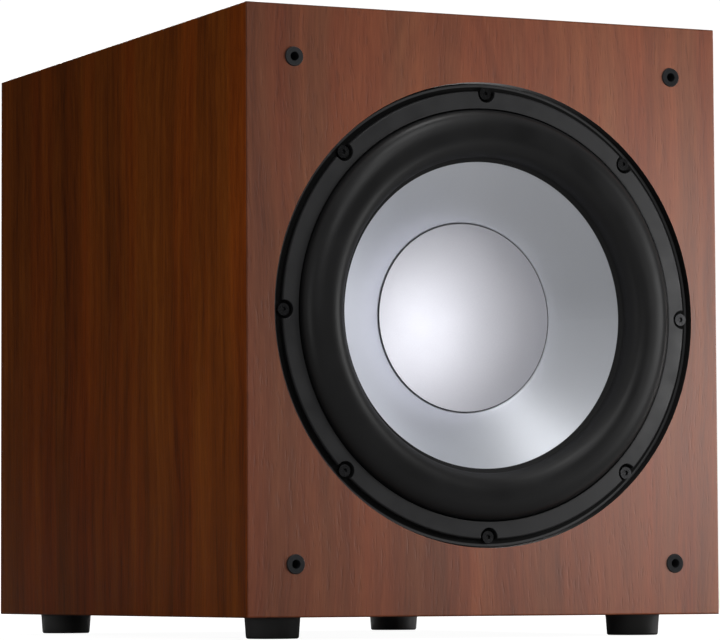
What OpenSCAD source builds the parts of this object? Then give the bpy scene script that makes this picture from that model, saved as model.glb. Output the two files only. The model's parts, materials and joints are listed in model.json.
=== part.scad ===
// Powered bass loudspeaker: a veneered cabinet on four rubber feet, with a
// twelve inch driver in front and an amplifier plate and a bass port behind.
// Millimetres. The origin is on the floor, under the middle of the bounding
// box. +Z is up, the driver faces -Y and X runs across the front.

/* [Cabinet] */
// Width of the cabinet
cabinet_w = 359; // [345:1:380]
// Depth of the cabinet from the front face to the rear face
cabinet_d = 475; // [440:1:520]
// Height of the cabinet without its feet
cabinet_h = 410; // [400:1:430]
// Thickness of the side, top, bottom and rear boards
wall_t = 18; // [16:1:20]
// Thickness of the front baffle
baffle_t = 25; // [24:1:30]
// Rounding of the cabinet's outer edges
edge_r = 1.2; // [0.6:0.1:2]

/* [Feet] */
// Diameter of a foot where it meets the cabinet
foot_d = 38; // [34:1:42]
// Height of a foot
foot_h = 14.5; // [12:0.5:18]
// Distance of the feet from the cabinet's sides
foot_side = 41; // [36:1:55]
// Distance of the front feet from the front face
foot_front = 51.5; // [45:0.5:60]
// Distance of the rear feet from the rear face
foot_rear = 33.5; // [30:0.5:45]

/* [Grille sockets] */
// Distance of each socket from the two nearest edges of the front
socket_inset = 35.4; // [30:0.2:38]
// Diameter of a socket's rim
socket_rim_d = 13.4; // [12:0.2:15]
// Diameter of the hole that takes a grille peg
socket_bore_d = 6.2; // [5:0.2:7]

/* [Driver] */
// Radius of the opening in the front face
opening_r = 159; // [158.5:0.1:160]
// Radius of the circle that the driver's screws lie on
screw_circle_r = 151.5; // [150.5:0.1:152.5]
// Number of screws that hold the driver
screw_count = 8; // [6:1:10]
// Radius of the silver cone at its outer edge
cone_r = 105; // [100:1:107]
// Radius of the dust cap
cap_r = 65.5; // [60:0.5:70]
// Height of the dust cap's dome
cap_rise = 23; // [18:1:26]
// How far the cone travels each way from rest
cone_travel = 12; // [6:1:12]

/* [Bass port] */
// Inner diameter of the port
port_d = 70; // [60:1:74]
// Length of the port tube
port_len = 160; // [120:5:180]

/* [Amplifier] */
// Width of the amplifier plate
plate_w = 244; // [240:1:250]
// Height of the amplifier plate
plate_h = 254; // [250:1:258]
// Thickness of the amplifier plate
plate_t = 2.5; // [2:0.5:3]
// Height of the heatsink's fins
fin_h = 15; // [10:1:20]
// Diameter of a control knob
knob_d = 22; // [18:1:26]

/* [Hidden] */

$fn = 96;
fine_fn = 180;
small_fn = 32;
// Cuts run this far past the faces that they open
over = 1;
// Gap left around a part that moves in another
play = 0.3;
// A direction that no swept tube follows
off_axis = [1, 0.21, 0.13];

// Cabinet. Depth is measured from the front face, and height from the floor.
half_w = cabinet_w / 2;
floor_z = foot_h;
roof_z = foot_h + cabinet_h;
inner_w = cabinet_w - 2 * wall_t;
inner_h = cabinet_h - 2 * wall_t;
inner_z = floor_z + wall_t;
rear_inner_y = cabinet_d - wall_t;

// Driver stack, as depths behind the front face
driver_z = floor_z + cabinet_h / 2;
rebate_depth = 10;
baffle_hole_r = 142;
seal_t = 2;
flange_r = opening_r - 1;
flange_t = 3;
flange_top = rebate_depth - seal_t - flange_t;
flange_bottom = rebate_depth - seal_t;
gasket_out_r = 153;
gasket_in_r = 141;
gasket_top = 0.3;
gasket_step_r = 143.2;
gasket_round = 0.8;
gasket_in_round = 0.4;
scallop_r = 6.3;
landing_t = 1;

// Surround: one round roll between a landing on the flange and one on the cone
roll_out_r = 140.5;
roll_in_r = 108;
roll_t = 1.6;
roll_height = 13;
roll_depth = flange_top - landing_t / 2;
roll_half = (roll_out_r - roll_in_r) / 2;
roll_mid_r = roll_in_r + roll_half;
// 2 is an ellipse, and more gives steeper walls under a flatter crest
roll_power = 2.6;
roll_facets = 28;

// Cone and dust cap
cone_top = 7.5;
cone_t = 1.4;
cone_slope = 0.737;
former_in_r = 37.5;
former_out_r = 38;
cap_t = 1;
cap_depth = cone_top + (cone_r - cap_r) * cone_slope;
cap_sphere_r = (cap_r * cap_r + cap_rise * cap_rise) / (2 * cap_rise);
neck_depth = cone_top + (cone_r - former_out_r) * cone_slope;

// Basket, from its flange to the seat that carries the magnet
basket_t = 3;
basket_top_r = 136.5;
seat_r = 80;
seat_depth = 90;
seat_t = 4;
seat_bore_r = 44;
window_count = 8;
window_top = 22;
window_bottom = 84;
spoke_w = 15;
shelf_depth = 68;
shelf_in_r = 78;
spider_out_r = 87;
spider_t = 0.8;
spider_wave = 2.2;
spider_rolls = 5;
spider_land_w = 4;
roll_steps = 12;

// Motor
top_plate_t = 8;
top_plate_r = 72;
gap_r = 40.3;
magnet_t = 24;
magnet_r = 78;
magnet_bore_r = 46;
yoke_t = 8;
yoke_r = 73;
pole_r = 36.6;
vent_r = 9;
pole_top = seat_depth + seat_t + 2;
magnet_front = seat_depth + seat_t + top_plate_t;
magnet_back = magnet_front + magnet_t;
coil_len = 26;
coil_mid = seat_depth + seat_t + top_plate_t / 2;
coil_r = 39.6;
former_end = coil_mid + coil_len / 2 + 1;

// Driver fasteners and leads
driver_head_r = 4.2;
driver_head_h = 3;
driver_shank_r = 2.1;
driver_shank_len = 16;
hex_key_r = 1.9;
hex_key_depth = 1.6;
terminal_w = 34;
terminal_h = 10;
terminal_t = 3;
terminal_depth = 44;
terminal_r = 122;
lead_gap = 13;
lead_r = 0.9;
lead_points = [[117, 42.4], [109, 42.6], [101, 47], [92, 53], [80, 53], [70, 45], [64, 39.6]];

// Window brace and wadding
brace_y = 190;
brace_border = 35;
brace_bar = 30;
brace_corner = 14;
wadding_t = 22;
wadding_front = 232;
wadding_back = 432;
wadding_margin = 26;
// The top pad stops short of the port tube
top_pad_len = cabinet_d - port_len - wadding_front - wadding_margin / 2;

// Pan head screws, as shares of the head's radius or height
pan_dome = 1.25;
pan_slot_w = 0.3;
pan_slot_len = 1.2;
pan_slot_depth = 0.5;

// Grille sockets and feet
socket_rim_h = 1;
socket_body_r = 5.1;
socket_len = 15;
socket_bore_len = 12;
foot_taper = 1;
foot_round = 1.6;
foot_recess_r = 6.5;
foot_recess_h = 7;
foot_screw_r = 2.2;
foot_screw_len = 14;
foot_head_r = 4.6;
foot_head_h = 3;

// Port
port_t = 2.5;
port_rim_w = 11;
port_gap = 3;
port_rim_r = port_d / 2 + port_rim_w;
port_rim_t = 3;
port_flare = 6;
port_z = roof_z - wall_t - port_rim_r - port_gap;

// Amplifier. Its own parts are placed across and up from the plate's middle,
// and outward from the cabinet's rear face.
plate_up = 30;
plate_z = floor_z + plate_up + plate_h / 2;
amp_gasket_t = 1.5;
plate_lip = 14;
plate_corner = 4;
plate_in = amp_gasket_t;
plate_out = amp_gasket_t + plate_t;
hatch_w = plate_w - 2 * plate_lip;
hatch_h = plate_h - 2 * plate_lip;
amp_head_r = 3.6;
amp_head_h = 2.2;
amp_shank_r = 1.9;
amp_shank_len = 18;
amp_screw_in = 7;
amp_screw_mid = 40;

// Heatsink on the plate's outer face
sink_w = 98;
sink_h = 118;
sink_base = 3;
sink_x = -54;
sink_z = 52;
fin_count = 10;
fin_t = 2.4;

// Boards behind the plate
board_t = 1.6;
board_hole_in = 5;
main_gap = 24;
main_w = 118;
main_h = 112;
main_x = -47;
main_z = 54;
control_gap = 11;
control_w = 84;
control_h = 112;
control_x = 64;
control_z = 54;
standoff_r = 3;
transistor_w = 16;
transistor_h = 21;
transistor_t = 5;
transistor_pitch = 24;
transistor_z = 26;
transistor_count = 4;
leg_pitch = 5;
leg_w = 1;
capacitor_r = 15;
capacitor_len = 42;
capacitor_pitch = 36;
capacitor_z = 78;
crimp_depth = 5;
crimp_r = 1;

// Toroidal transformer low on the plate
toroid_x = -48;
toroid_z = -60;
toroid_r = 46;
toroid_bore_r = 14;
toroid_h = 36;
toroid_round = 8;
cap_plate_r = 40;
cap_plate_t = 1.5;
cap_dish = 6;
cap_dish_r = 12;
cap_slope_w = 6;
bolt_r = 3;
bolt_head_r = 5.8;
bolt_head_h = 4;
nut_r = 5.8;
nut_h = 5;

// Controls
knob_x = 42;
knob_pitch = 46;
knob_z = 90;
knob_h = 13;
knob_gap = 0.8;
knob_skirt_h = 4;
knob_step = 1;
knob_top_r = knob_d / 2 - 2 * knob_step;
knob_hollow_r = 6;
knob_hollow_h = 6;
pointer_w = 2.6;
pointer_rise = 0.9;
shaft_r = 3;
shaft_len = 12;
bushing_r = 3.6;
bushing_len = 4;
bushing_play = 0.1;
pot_w = 17;
switch_z = 50;
switch_w = 18;
switch_h = 9;
switch_slot_w = 10;
switch_slot_h = 4.6;
lever_w = 4;
lever_h = 4;
lever_out = 3;
lever_in = 5;
switch_travel = 5;
led_x = 65;
led_z = 70;
led_r = 2.5;
led_rim_r = 3.6;
led_rim_h = 1.2;

// Line inputs
jack_z = 14;
jack_pitch = 23;
jack_count = 3;
jack_r = 4.15;
jack_bore_r = 3.3;
jack_len = 9;
jack_nut_r = 6.2;
jack_nut_h = 2;
jack_body_w = 12;
pin_bore_r = 1.6;

// Mains inlet with its fuse drawer
inlet_x = 65;
inlet_z = -46;
inlet_w = 50;
inlet_h = 36;
inlet_flange_t = 2.5;
inlet_corner = 3;
socket_w = 24.2;
socket_h = 16.6;
socket_depth = 16;
socket_up = 6;
socket_chamfer = 4;
body_w = 30;
body_h = 34;
body_depth = 24;
blade_w = 2;
blade_h = 4;
blade_len = 14;
blade_pitch = 7;
earth_up = 3;
line_down = 1.5;
inlet_screw_x = 20;
inlet_screw_r = 1.7;
inlet_head_r = 2.9;
inlet_head_h = 1.6;
inlet_screw_tip = 2;
drawer_w = 25;
drawer_h = 8;
drawer_depth = 18;
drawer_down = 10.5;
drawer_lip = 1.8;
fuse_r = 2.6;
fuse_len = 20;
fuse_cap_len = 5;
fuse_glass_r = 2.3;
fuse_depth = 9;

// Power rocker
rocker_x = 65;
rocker_z = -94;
rocker_w = 21;
rocker_h = 15;
rocker_rim_t = 1.6;
rocker_body_w = 19;
rocker_body_h = 13;
rocker_body_depth = 14;
rocker_cap_w = 15;
rocker_cap_h = 9;
rocker_tilt = 9;
rocker_core = 6;
rocker_wing = 3.4;
rocker_floor_t = 2;
rocker_pin_r = 1.1;
rocker_pin_len = 1.2;
// The pivot pins lie this far out from the cabinet's rear face
rocker_pivot = plate_out + rocker_rim_t - rocker_core / 2;

// Speaker wires, from the main board to the driver's terminals
wire_r = 1.3;
wire_gap = 5;
wire_route = [
    [-64, 450, 200], [-64, 436, 199], [-64, 420, 188], [-66, 404, 150],
    [-68, 380, 104], [-66, 350, 66], [-60, 310, 40], [-56, 262, 36],
    [-54, 232, 50], [-54, 218, 72], [-54, 180, 72], [-50, 164, 50],
    [-42, 144, 36], [-30, 118, 36], [-16, 92, 52], [-6, 74, 80]
];
// Both wires fan out to their tags at the end
wire_end = [[60, 96], [51, 96]];

// The bounding box runs from the surround's crest to the heatsink's fins
rear_reach = plate_out + sink_base + fin_h;
front_reach = roll_height - roll_depth;
front_y = (front_reach - rear_reach - cabinet_d) / 2;

// Colours, as seen on the outside of the object
veneer = [0.42, 0.23, 0.14];
mdf = [0.62, 0.50, 0.36];
black_plastic = [0.07, 0.07, 0.08];
black_rubber = [0.05, 0.05, 0.05];
charcoal = [0.20, 0.20, 0.21];
black_metal = [0.10, 0.10, 0.11];
silver = [0.72, 0.73, 0.75];
bright_silver = [0.82, 0.82, 0.84];
steel = [0.62, 0.62, 0.63];
ferrite = [0.22, 0.22, 0.23];
copper = [0.72, 0.40, 0.22];
cream_cloth = [0.80, 0.74, 0.58];
wadding_white = [0.88, 0.87, 0.82];
board_green = [0.10, 0.34, 0.20];
gold = [0.80, 0.64, 0.30];
clear_glass = [0.80, 0.88, 0.90];
led_blue = [0.30, 0.55, 0.95];
insulator_white = [0.90, 0.90, 0.90];

// ---- Placing helpers ----

// Everything is built behind the plane y = 0 and then put in the object's frame
module in_frame() {
    translate([0, front_y, 0])
        children();
}

// Turns a part built along +Z so that it points into the cabinet, on the driver's axis
module on_driver_axis() {
    translate([0, 0, driver_z])
        rotate([-90, 0, 0])
            children();
}

// Points a part built along +Z outward from the rear face, across and up the plate
module on_plate(x, z, out) {
    translate([x, cabinet_d + out, plate_z + z])
        rotate([-90, 0, 0])
            children();
}

// A box on the plate, from one outward distance to another
module plate_box(x, z, w, h, out_from, out_to) {
    translate([x - w / 2, cabinet_d + out_from, plate_z + z - h / 2])
        cube([w, out_to - out_from, h]);
}

// Repeats a part round the driver's axis
module ring_of(count, start = 0) {
    for (i = [0 : count - 1]) {
        rotate([0, 0, start + 360 * i / count])
            children();
    }
}

// A flat ring or disc along +Z
module washer(r_out, r_in, z_from, z_to) {
    translate([0, 0, z_from])
        difference() {
            cylinder(r = r_out, h = z_to - z_from);
            translate([0, 0, -over])
                cylinder(r = r_in, h = z_to - z_from + 2 * over);
        }
}

// A rectangle with round corners, centred
module round_rect(w, h, r) {
    square([w - 2 * r, h], center = true);
    square([w, h - 2 * r], center = true);
    for (x = [-1, 1], y = [-1, 1]) {
        translate([x * (w / 2 - r), y * (h / 2 - r)])
            circle(r = r, $fn = small_fn);
    }
}

// An outline in X and Z, extruded through the cabinet's depth
module through_depth(y_from, y_to) {
    translate([0, y_to, 0])
        rotate([90, 0, 0])
            linear_extrude(height = y_to - y_from)
                children();
}

// An outline in Y and Z, extruded across the cabinet's width
module across_width() {
    translate([-half_w, 0, 0])
        rotate([90, 0, 90])
            linear_extrude(height = cabinet_w)
                children();
}

// A tube swept along a list of points with straight sides between its rings
function unit(v) = v / norm(v);
function heading(p, i) = unit(p[min(i + 1, len(p) - 1)] - p[max(i - 1, 0)]);
function sideways(t) = unit(cross(t, off_axis));
function ring(c, t, r, n) = [
    for (k = [0 : n - 1])
        c + r * (cos(360 * k / n) * sideways(t) + sin(360 * k / n) * cross(t, sideways(t)))
];
// Corner cutting, which keeps both ends of a list of points
function softened(p) = [
    p[0],
    for (i = [0 : len(p) - 2], f = [0.25, 0.75])
        if (!(i == 0 && f == 0.25) && !(i == len(p) - 2 && f == 0.75))
            p[i] * (1 - f) + p[i + 1] * f,
    p[len(p) - 1]
];

module swept_tube(p, r, n = 8) {
    rings = [for (i = [0 : len(p) - 1]) each ring(p[i], heading(p, i), r, n)];
    last = len(p) - 1;
    walls = [
        for (i = [0 : last - 1], k = [0 : n - 1])
            [i * n + k, i * n + (k + 1) % n, (i + 1) * n + (k + 1) % n, (i + 1) * n + k]
    ];
    near_end = [for (k = [n - 1 : -1 : 0]) k];
    far_end = [for (k = [0 : n - 1]) last * n + k];
    polyhedron(points = rings, faces = concat(walls, [near_end, far_end]), convexity = 4);
}

// ---- Cabinet ----

// The cabinet's outer form with every edge rounded
module cabinet_envelope() {
    mid_z = (floor_z + roof_z) / 2;
    intersection() {
        through_depth(0, cabinet_d)
            translate([0, mid_z])
                round_rect(cabinet_w, cabinet_h, edge_r);
        across_width()
            translate([cabinet_d / 2, mid_z])
                round_rect(cabinet_d, cabinet_h, edge_r);
        translate([0, cabinet_d / 2, floor_z])
            linear_extrude(height = cabinet_h)
                round_rect(cabinet_w, cabinet_d, edge_r);
    }
}

// The left wall, mitred to the top, the bottom and the baffle
module left_board() {
    intersection() {
        through_depth(0, cabinet_d)
            polygon([
                [-half_w, floor_z], [-half_w, roof_z],
                [-half_w + wall_t, roof_z - wall_t], [-half_w + wall_t, inner_z]
            ]);
        translate([0, 0, floor_z])
            linear_extrude(height = cabinet_h)
                polygon([
                    [-half_w, 0], [-half_w, cabinet_d],
                    [-half_w + wall_t, cabinet_d], [-half_w + wall_t, baffle_t]
                ]);
        cabinet_envelope();
    }
}

// The bottom wall, mitred to the sides and the baffle
module bottom_board() {
    intersection() {
        through_depth(0, cabinet_d)
            polygon([
                [-half_w, floor_z], [half_w, floor_z],
                [half_w - wall_t, inner_z], [-half_w + wall_t, inner_z]
            ]);
        across_width()
            polygon([
                [0, floor_z], [cabinet_d, floor_z],
                [cabinet_d, inner_z], [baffle_t, inner_z]
            ]);
        cabinet_envelope();
    }
}

module top_panel() {
    color(veneer)
        translate([0, 0, floor_z + roof_z])
            mirror([0, 0, 1])
                bottom_board();
}

module foot_places() {
    for (side = [-1, 1], y = [foot_front, cabinet_d - foot_rear]) {
        translate([side * (half_w - foot_side), y, 0])
            children();
    }
}

module bottom_panel() {
    color(veneer)
        difference() {
            bottom_board();
            foot_places()
                translate([0, 0, floor_z - over])
                    cylinder(r = foot_screw_r, h = foot_screw_len + over, $fn = small_fn);
        }
}

module left_panel() {
    color(veneer)
        left_board();
}

module right_panel() {
    color(veneer)
        mirror([1, 0, 0])
            left_board();
}

module socket_places() {
    for (side = [-1, 1], z = [floor_z + socket_inset, roof_z - socket_inset]) {
        translate([side * (half_w - socket_inset), 0, z])
            rotate([-90, 0, 0])
                children();
    }
}

module front_baffle() {
    color(veneer)
        difference() {
            intersection() {
                translate([0, 0, floor_z])
                    linear_extrude(height = cabinet_h)
                        polygon([
                            [-half_w, 0], [half_w, 0],
                            [half_w - wall_t, baffle_t], [-half_w + wall_t, baffle_t]
                        ]);
                across_width()
                    polygon([
                        [0, floor_z], [0, roof_z],
                        [baffle_t, roof_z - wall_t], [baffle_t, inner_z]
                    ]);
                cabinet_envelope();
            }
            on_driver_axis() {
                translate([0, 0, -over])
                    cylinder(r = opening_r, h = rebate_depth + over, $fn = fine_fn);
                cylinder(r = baffle_hole_r, h = baffle_t + over, $fn = fine_fn);
                ring_of(screw_count)
                    translate([screw_circle_r, 0, flange_top])
                        cylinder(r = driver_shank_r, h = driver_shank_len, $fn = small_fn);
            }
            socket_places()
                translate([0, 0, -over])
                    cylinder(r = socket_body_r, h = socket_len + over, $fn = small_fn);
        }
}

module amp_screw_places() {
    for (side = [-1, 1], z = [-1, 1]) {
        on_plate(side * (plate_w / 2 - amp_screw_in), z * (plate_h / 2 - amp_screw_in), plate_out)
            children();
        on_plate(side * (plate_w / 2 - amp_screw_in), z * amp_screw_mid, plate_out)
            children();
    }
    for (z = [-1, 1]) {
        on_plate(0, z * (plate_h / 2 - amp_screw_in), plate_out)
            children();
    }
}

module amp_screw_holes() {
    amp_screw_places()
        translate([0, 0, -amp_shank_len])
            cylinder(r = amp_shank_r, h = amp_shank_len + over, $fn = small_fn);
}

module rear_panel() {
    color(veneer)
        difference() {
            translate([-inner_w / 2, rear_inner_y, inner_z])
                cube([inner_w, wall_t, inner_h]);
            plate_box(0, 0, hatch_w, hatch_h, -wall_t - over, over);
            translate([0, rear_inner_y - over, port_z])
                rotate([-90, 0, 0])
                    cylinder(r = port_d / 2 + port_t, h = wall_t + 2 * over);
            amp_screw_holes();
        }
}

// A frame across the cabinet with two tall windows, glued to all four walls
module window_brace() {
    window_w = (inner_w - 2 * brace_border - brace_bar) / 2;
    window_h = inner_h - 2 * brace_border;
    color(mdf)
        through_depth(brace_y, brace_y + wall_t)
            translate([0, inner_z + inner_h / 2])
                difference() {
                    square([inner_w, inner_h], center = true);
                    for (side = [-1, 1]) {
                        translate([side * (window_w + brace_bar) / 2, 0])
                            round_rect(window_w, window_h, brace_corner);
                    }
                }
}

// Felted wadding on both sides and under the top, behind the brace
module damping_wadding() {
    wadding_len = wadding_back - wadding_front;
    side_h = inner_h - 2 * wadding_margin - wadding_t;
    color(wadding_white) {
        for (side = [-1, 1]) {
            translate([side * (inner_w - wadding_t) / 2, wadding_front, inner_z + wadding_margin])
                translate([-wadding_t / 2, 0, 0])
                    cube([wadding_t, wadding_len, side_h]);
        }
        translate([-inner_w / 2 + wadding_margin, wadding_front, inner_z + inner_h - wadding_t])
            cube([inner_w - 2 * wadding_margin, top_pad_len, wadding_t]);
    }
}

module grille_sockets() {
    color(black_rubber)
        socket_places()
            rotate_extrude($fn = small_fn)
                polygon([
                    [socket_bore_d / 2, -socket_rim_h], [socket_rim_d / 2 - socket_rim_h / 2, -socket_rim_h],
                    [socket_rim_d / 2, 0], [socket_body_r, 0], [socket_body_r, socket_len],
                    [0, socket_len], [0, socket_bore_len], [socket_bore_d / 2, socket_bore_len]
                ]);
}

module feet() {
    top_r = foot_d / 2;
    low_r = top_r - foot_taper;
    color(black_rubber)
        foot_places()
            difference() {
                rotate_extrude()
                    union() {
                        polygon([
                            [0, 0], [low_r - foot_round, 0], [low_r - foot_round, foot_round],
                            [low_r, foot_round], [top_r, foot_h], [0, foot_h]
                        ]);
                        translate([low_r - foot_round, foot_round])
                            intersection() {
                                circle(r = foot_round, $fn = small_fn);
                                translate([0, -foot_round])
                                    square(foot_round);
                            }
                    }
                translate([0, 0, -over])
                    cylinder(r = foot_recess_r, h = foot_recess_h + over, $fn = small_fn);
                cylinder(r = foot_screw_r, h = foot_h + over, $fn = small_fn);
            }
}

// A pan head with a cross recess and its shank, head down at z = 0 and shank along +Z
module pan_screw(head_r, head_h, shank_r, shank_len) {
    slot_w = head_r * pan_slot_w;
    slot_len = head_r * pan_slot_len;
    difference() {
        union() {
            intersection() {
                translate([0, 0, -head_h])
                    cylinder(r = head_r, h = head_h, $fn = small_fn);
                translate([0, 0, head_r - head_h])
                    sphere(r = head_r * pan_dome, $fn = small_fn);
            }
            cylinder(r = shank_r, h = shank_len, $fn = small_fn);
        }
        for (turn = [0, 90]) {
            rotate([0, 0, turn])
                translate([-slot_len / 2, -slot_w / 2, -head_h - over])
                    cube([slot_len, slot_w, head_h * pan_slot_depth + over]);
        }
    }
}

module foot_screws() {
    color(steel)
        foot_places()
            translate([0, 0, foot_recess_h])
                pan_screw(foot_head_r, foot_head_h, foot_screw_r, foot_h - foot_recess_h + foot_screw_len);
}

// A flared tube with a flat rim outside the rear panel
module port_tube() {
    bore_r = port_d / 2;
    color(black_plastic)
        translate([0, cabinet_d, port_z])
            rotate([-90, 0, 0])
                difference() {
                    union() {
                        translate([0, 0, port_rim_t - port_len])
                            cylinder(r = bore_r + port_t, h = port_len);
                        cylinder(r = port_rim_r, h = port_rim_t);
                    }
                    translate([0, 0, -port_len])
                        cylinder(r = bore_r, h = port_len + port_rim_t + over);
                    translate([0, 0, port_rim_t])
                        rotate_extrude()
                            difference() {
                                translate([0, -port_flare])
                                    square([bore_r + port_flare, port_flare + over]);
                                translate([bore_r + port_flare, -port_flare])
                                    circle(r = port_flare, $fn = small_fn);
                            }
                }
}

// ---- Driver, built along its own axis with +Z into the cabinet ----

// Inner radius of the basket's wall at a depth
function basket_r(depth) =
    basket_top_r - (basket_top_r - seat_r) * (depth - flange_top) / (seat_depth - flange_top);

// The flat ring that rests in the rebate
module driver_flange() {
    color(black_metal)
        on_driver_axis()
            difference() {
                washer(flange_r, basket_top_r, flange_top, flange_bottom, $fn = fine_fn);
                ring_of(screw_count)
                    translate([screw_circle_r, 0, flange_top - over])
                        cylinder(r = driver_shank_r, h = flange_t + 2 * over, $fn = small_fn);
            }
}

// The pressed bowl behind the flange, without its windows
module basket_bowl() {
    rotate_extrude($fn = fine_fn)
        polygon([
            [basket_r(flange_bottom), flange_bottom], [basket_top_r + basket_t, flange_bottom],
            [seat_r + basket_t, seat_depth], [seat_r + basket_t, seat_depth + seat_t],
            [seat_bore_r, seat_depth + seat_t], [seat_bore_r, seat_depth],
            [seat_r, seat_depth]
        ]);
}

module driver_basket() {
    window_outer_w = 2 * PI * basket_r(window_top) / window_count - spoke_w;
    window_inner_w = 2 * PI * basket_r(window_bottom) / window_count - spoke_w;
    color(black_metal)
        on_driver_axis() {
            difference() {
                basket_bowl();
                ring_of(window_count, 180 / window_count)
                    rotate([0, 90, 0])
                        translate([0, 0, seat_r - over])
                            linear_extrude(height = basket_top_r)
                                polygon([
                                    [-window_top, -window_outer_w / 2],
                                    [-window_top, window_outer_w / 2],
                                    [-window_bottom, window_inner_w / 2],
                                    [-window_bottom, -window_inner_w / 2]
                                ]);
            }
            spider_shelf();
        }
}

// The step inside the basket that the spider's rim is glued to
module spider_shelf() {
    rotate_extrude($fn = fine_fn)
        polygon([
            [shelf_in_r, shelf_depth], [shelf_in_r, shelf_depth + basket_t],
            [basket_r(shelf_depth + basket_t) + basket_t / 2, shelf_depth + basket_t],
            [basket_r(shelf_depth) + basket_t / 2, shelf_depth]
        ]);
}

module driver_seal() {
    color(black_rubber)
        on_driver_axis()
            difference() {
                washer(flange_r, gasket_step_r, flange_bottom, rebate_depth, $fn = fine_fn);
                ring_of(screw_count)
                    translate([screw_circle_r, 0, flange_bottom - over])
                        cylinder(r = driver_shank_r, h = seal_t + 2 * over, $fn = small_fn);
            }
}

// The raised trim ring, cut back in a half round at each screw
module driver_gasket() {
    color(charcoal)
        on_driver_axis()
            difference() {
                rotate_extrude($fn = fine_fn)
                    polygon([
                        [gasket_in_r, gasket_top + gasket_in_round], [gasket_in_r + gasket_in_round, gasket_top],
                        [gasket_out_r - gasket_round, gasket_top], [gasket_out_r, gasket_top + gasket_round],
                        [gasket_out_r, flange_top], [gasket_step_r, flange_top],
                        [gasket_step_r, flange_top - landing_t], [gasket_in_r, flange_top - landing_t]
                    ]);
                ring_of(screw_count)
                    translate([screw_circle_r, 0, gasket_top - over])
                        cylinder(r = scallop_r, h = flange_top - gasket_top + 2 * over, $fn = small_fn);
            }
}

// Points along the roll from its inner foot to its outer foot, inset from its outer skin
function power_of(v) = sign(v) * pow(abs(v), 2 / roll_power);
function roll_line(inset) = [
    for (i = [0 : roll_facets])
        let (a = 180 * (1 - i / roll_facets))
            [
                roll_mid_r + (roll_half - inset) * power_of(cos(a)),
                roll_depth - (roll_height - inset) * power_of(sin(a))
            ]
];
function backwards(p) = [for (i = [len(p) - 1 : -1 : 0]) p[i]];

// A rubber half roll with its outer landing on the flange and its inner landing on the cone
module surround() {
    color(black_rubber)
        on_driver_axis()
            rotate_extrude($fn = fine_fn)
                union() {
                    polygon(concat(roll_line(0), backwards(roll_line(roll_t))));
                    translate([roll_out_r - roll_t, flange_top - landing_t])
                        square([gasket_step_r - play - roll_out_r + roll_t, landing_t]);
                    polygon([
                        [roll_in_r + roll_t, roll_depth - landing_t / 2], [roll_in_r, roll_depth],
                        [cone_r, cone_top - roll_t], [cone_r, cone_top],
                        [roll_in_r + roll_t, roll_depth + roll_t]
                    ]);
                }
}

module cone() {
    color(silver)
        on_driver_axis()
            rotate_extrude($fn = fine_fn)
                polygon([
                    [cone_r, cone_top], [former_out_r, neck_depth],
                    [former_out_r, neck_depth + cone_t],
                    [cone_r, cone_top + cone_t], [roll_in_r, cone_top + cone_t], [roll_in_r, cone_top]
                ]);
}

// A shallow dome glued to the cone
module dust_cap() {
    centre = cap_depth - cap_rise + cap_sphere_r;
    color(bright_silver)
        on_driver_axis()
            rotate_extrude($fn = fine_fn)
                difference() {
                    translate([0, centre])
                        circle(r = cap_sphere_r, $fn = fine_fn);
                    translate([0, centre])
                        circle(r = cap_sphere_r - cap_t, $fn = fine_fn);
                    translate([-cap_sphere_r - over, cap_depth - cap_t / 2])
                        square([2 * (cap_sphere_r + over), 2 * cap_sphere_r]);
                    translate([-cap_sphere_r - over, -over])
                        square([cap_sphere_r + over, 2 * cap_sphere_r]);
                }
}

module voice_coil_former() {
    color(silver)
        on_driver_axis()
            washer(former_out_r, former_in_r, neck_depth - basket_t, former_end);
}

module voice_coil() {
    color(copper)
        on_driver_axis()
            washer(coil_r, former_out_r, coil_mid - coil_len / 2, coil_mid + coil_len / 2);
}

// A corrugated cloth disc that centres the former
module spider() {
    inner_land_r = former_out_r + spider_land_w;
    wave_span = shelf_in_r - inner_land_r;
    steps = spider_rolls * roll_steps;
    mid = shelf_depth - spider_t / 2;
    upper = [
        for (i = [0 : steps])
            let (wave = spider_wave * sin(360 * spider_rolls * i / steps))
                [inner_land_r + wave_span * i / steps, mid - spider_t / 2 + wave]
    ];
    lower = [for (i = [steps : -1 : 0]) upper[i] + [0, spider_t]];
    color(cream_cloth)
        on_driver_axis()
            rotate_extrude()
                polygon(concat(
                    [[former_out_r, mid - spider_t / 2]], upper, [[spider_out_r, mid - spider_t / 2]],
                    [[spider_out_r, mid + spider_t / 2]], lower, [[former_out_r, mid + spider_t / 2]]
                ));
}

module magnet_top_plate() {
    color(steel)
        on_driver_axis()
            washer(top_plate_r, gap_r, seat_depth + seat_t, magnet_front);
}

module magnet_ring() {
    color(ferrite)
        on_driver_axis()
            washer(magnet_r, magnet_bore_r, magnet_front, magnet_back);
}

// Back plate and pole in one piece, with a vent through the middle
module t_yoke() {
    color(steel)
        on_driver_axis()
            rotate_extrude()
                polygon([
                    [vent_r, pole_top], [pole_r, pole_top], [pole_r, magnet_back],
                    [yoke_r, magnet_back], [yoke_r, magnet_back + yoke_t], [vent_r, magnet_back + yoke_t]
                ]);
}

module driver_screws() {
    color(black_metal)
        on_driver_axis()
            ring_of(screw_count)
                translate([screw_circle_r, 0, flange_top])
                    difference() {
                        union() {
                            translate([0, 0, -driver_head_h])
                                cylinder(r = driver_head_r, h = driver_head_h, $fn = small_fn);
                            cylinder(r = driver_shank_r, h = driver_shank_len, $fn = small_fn);
                        }
                        translate([0, 0, -driver_head_h - over])
                            cylinder(r = hex_key_r, h = hex_key_depth + over, $fn = 6);
                    }
}

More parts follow.
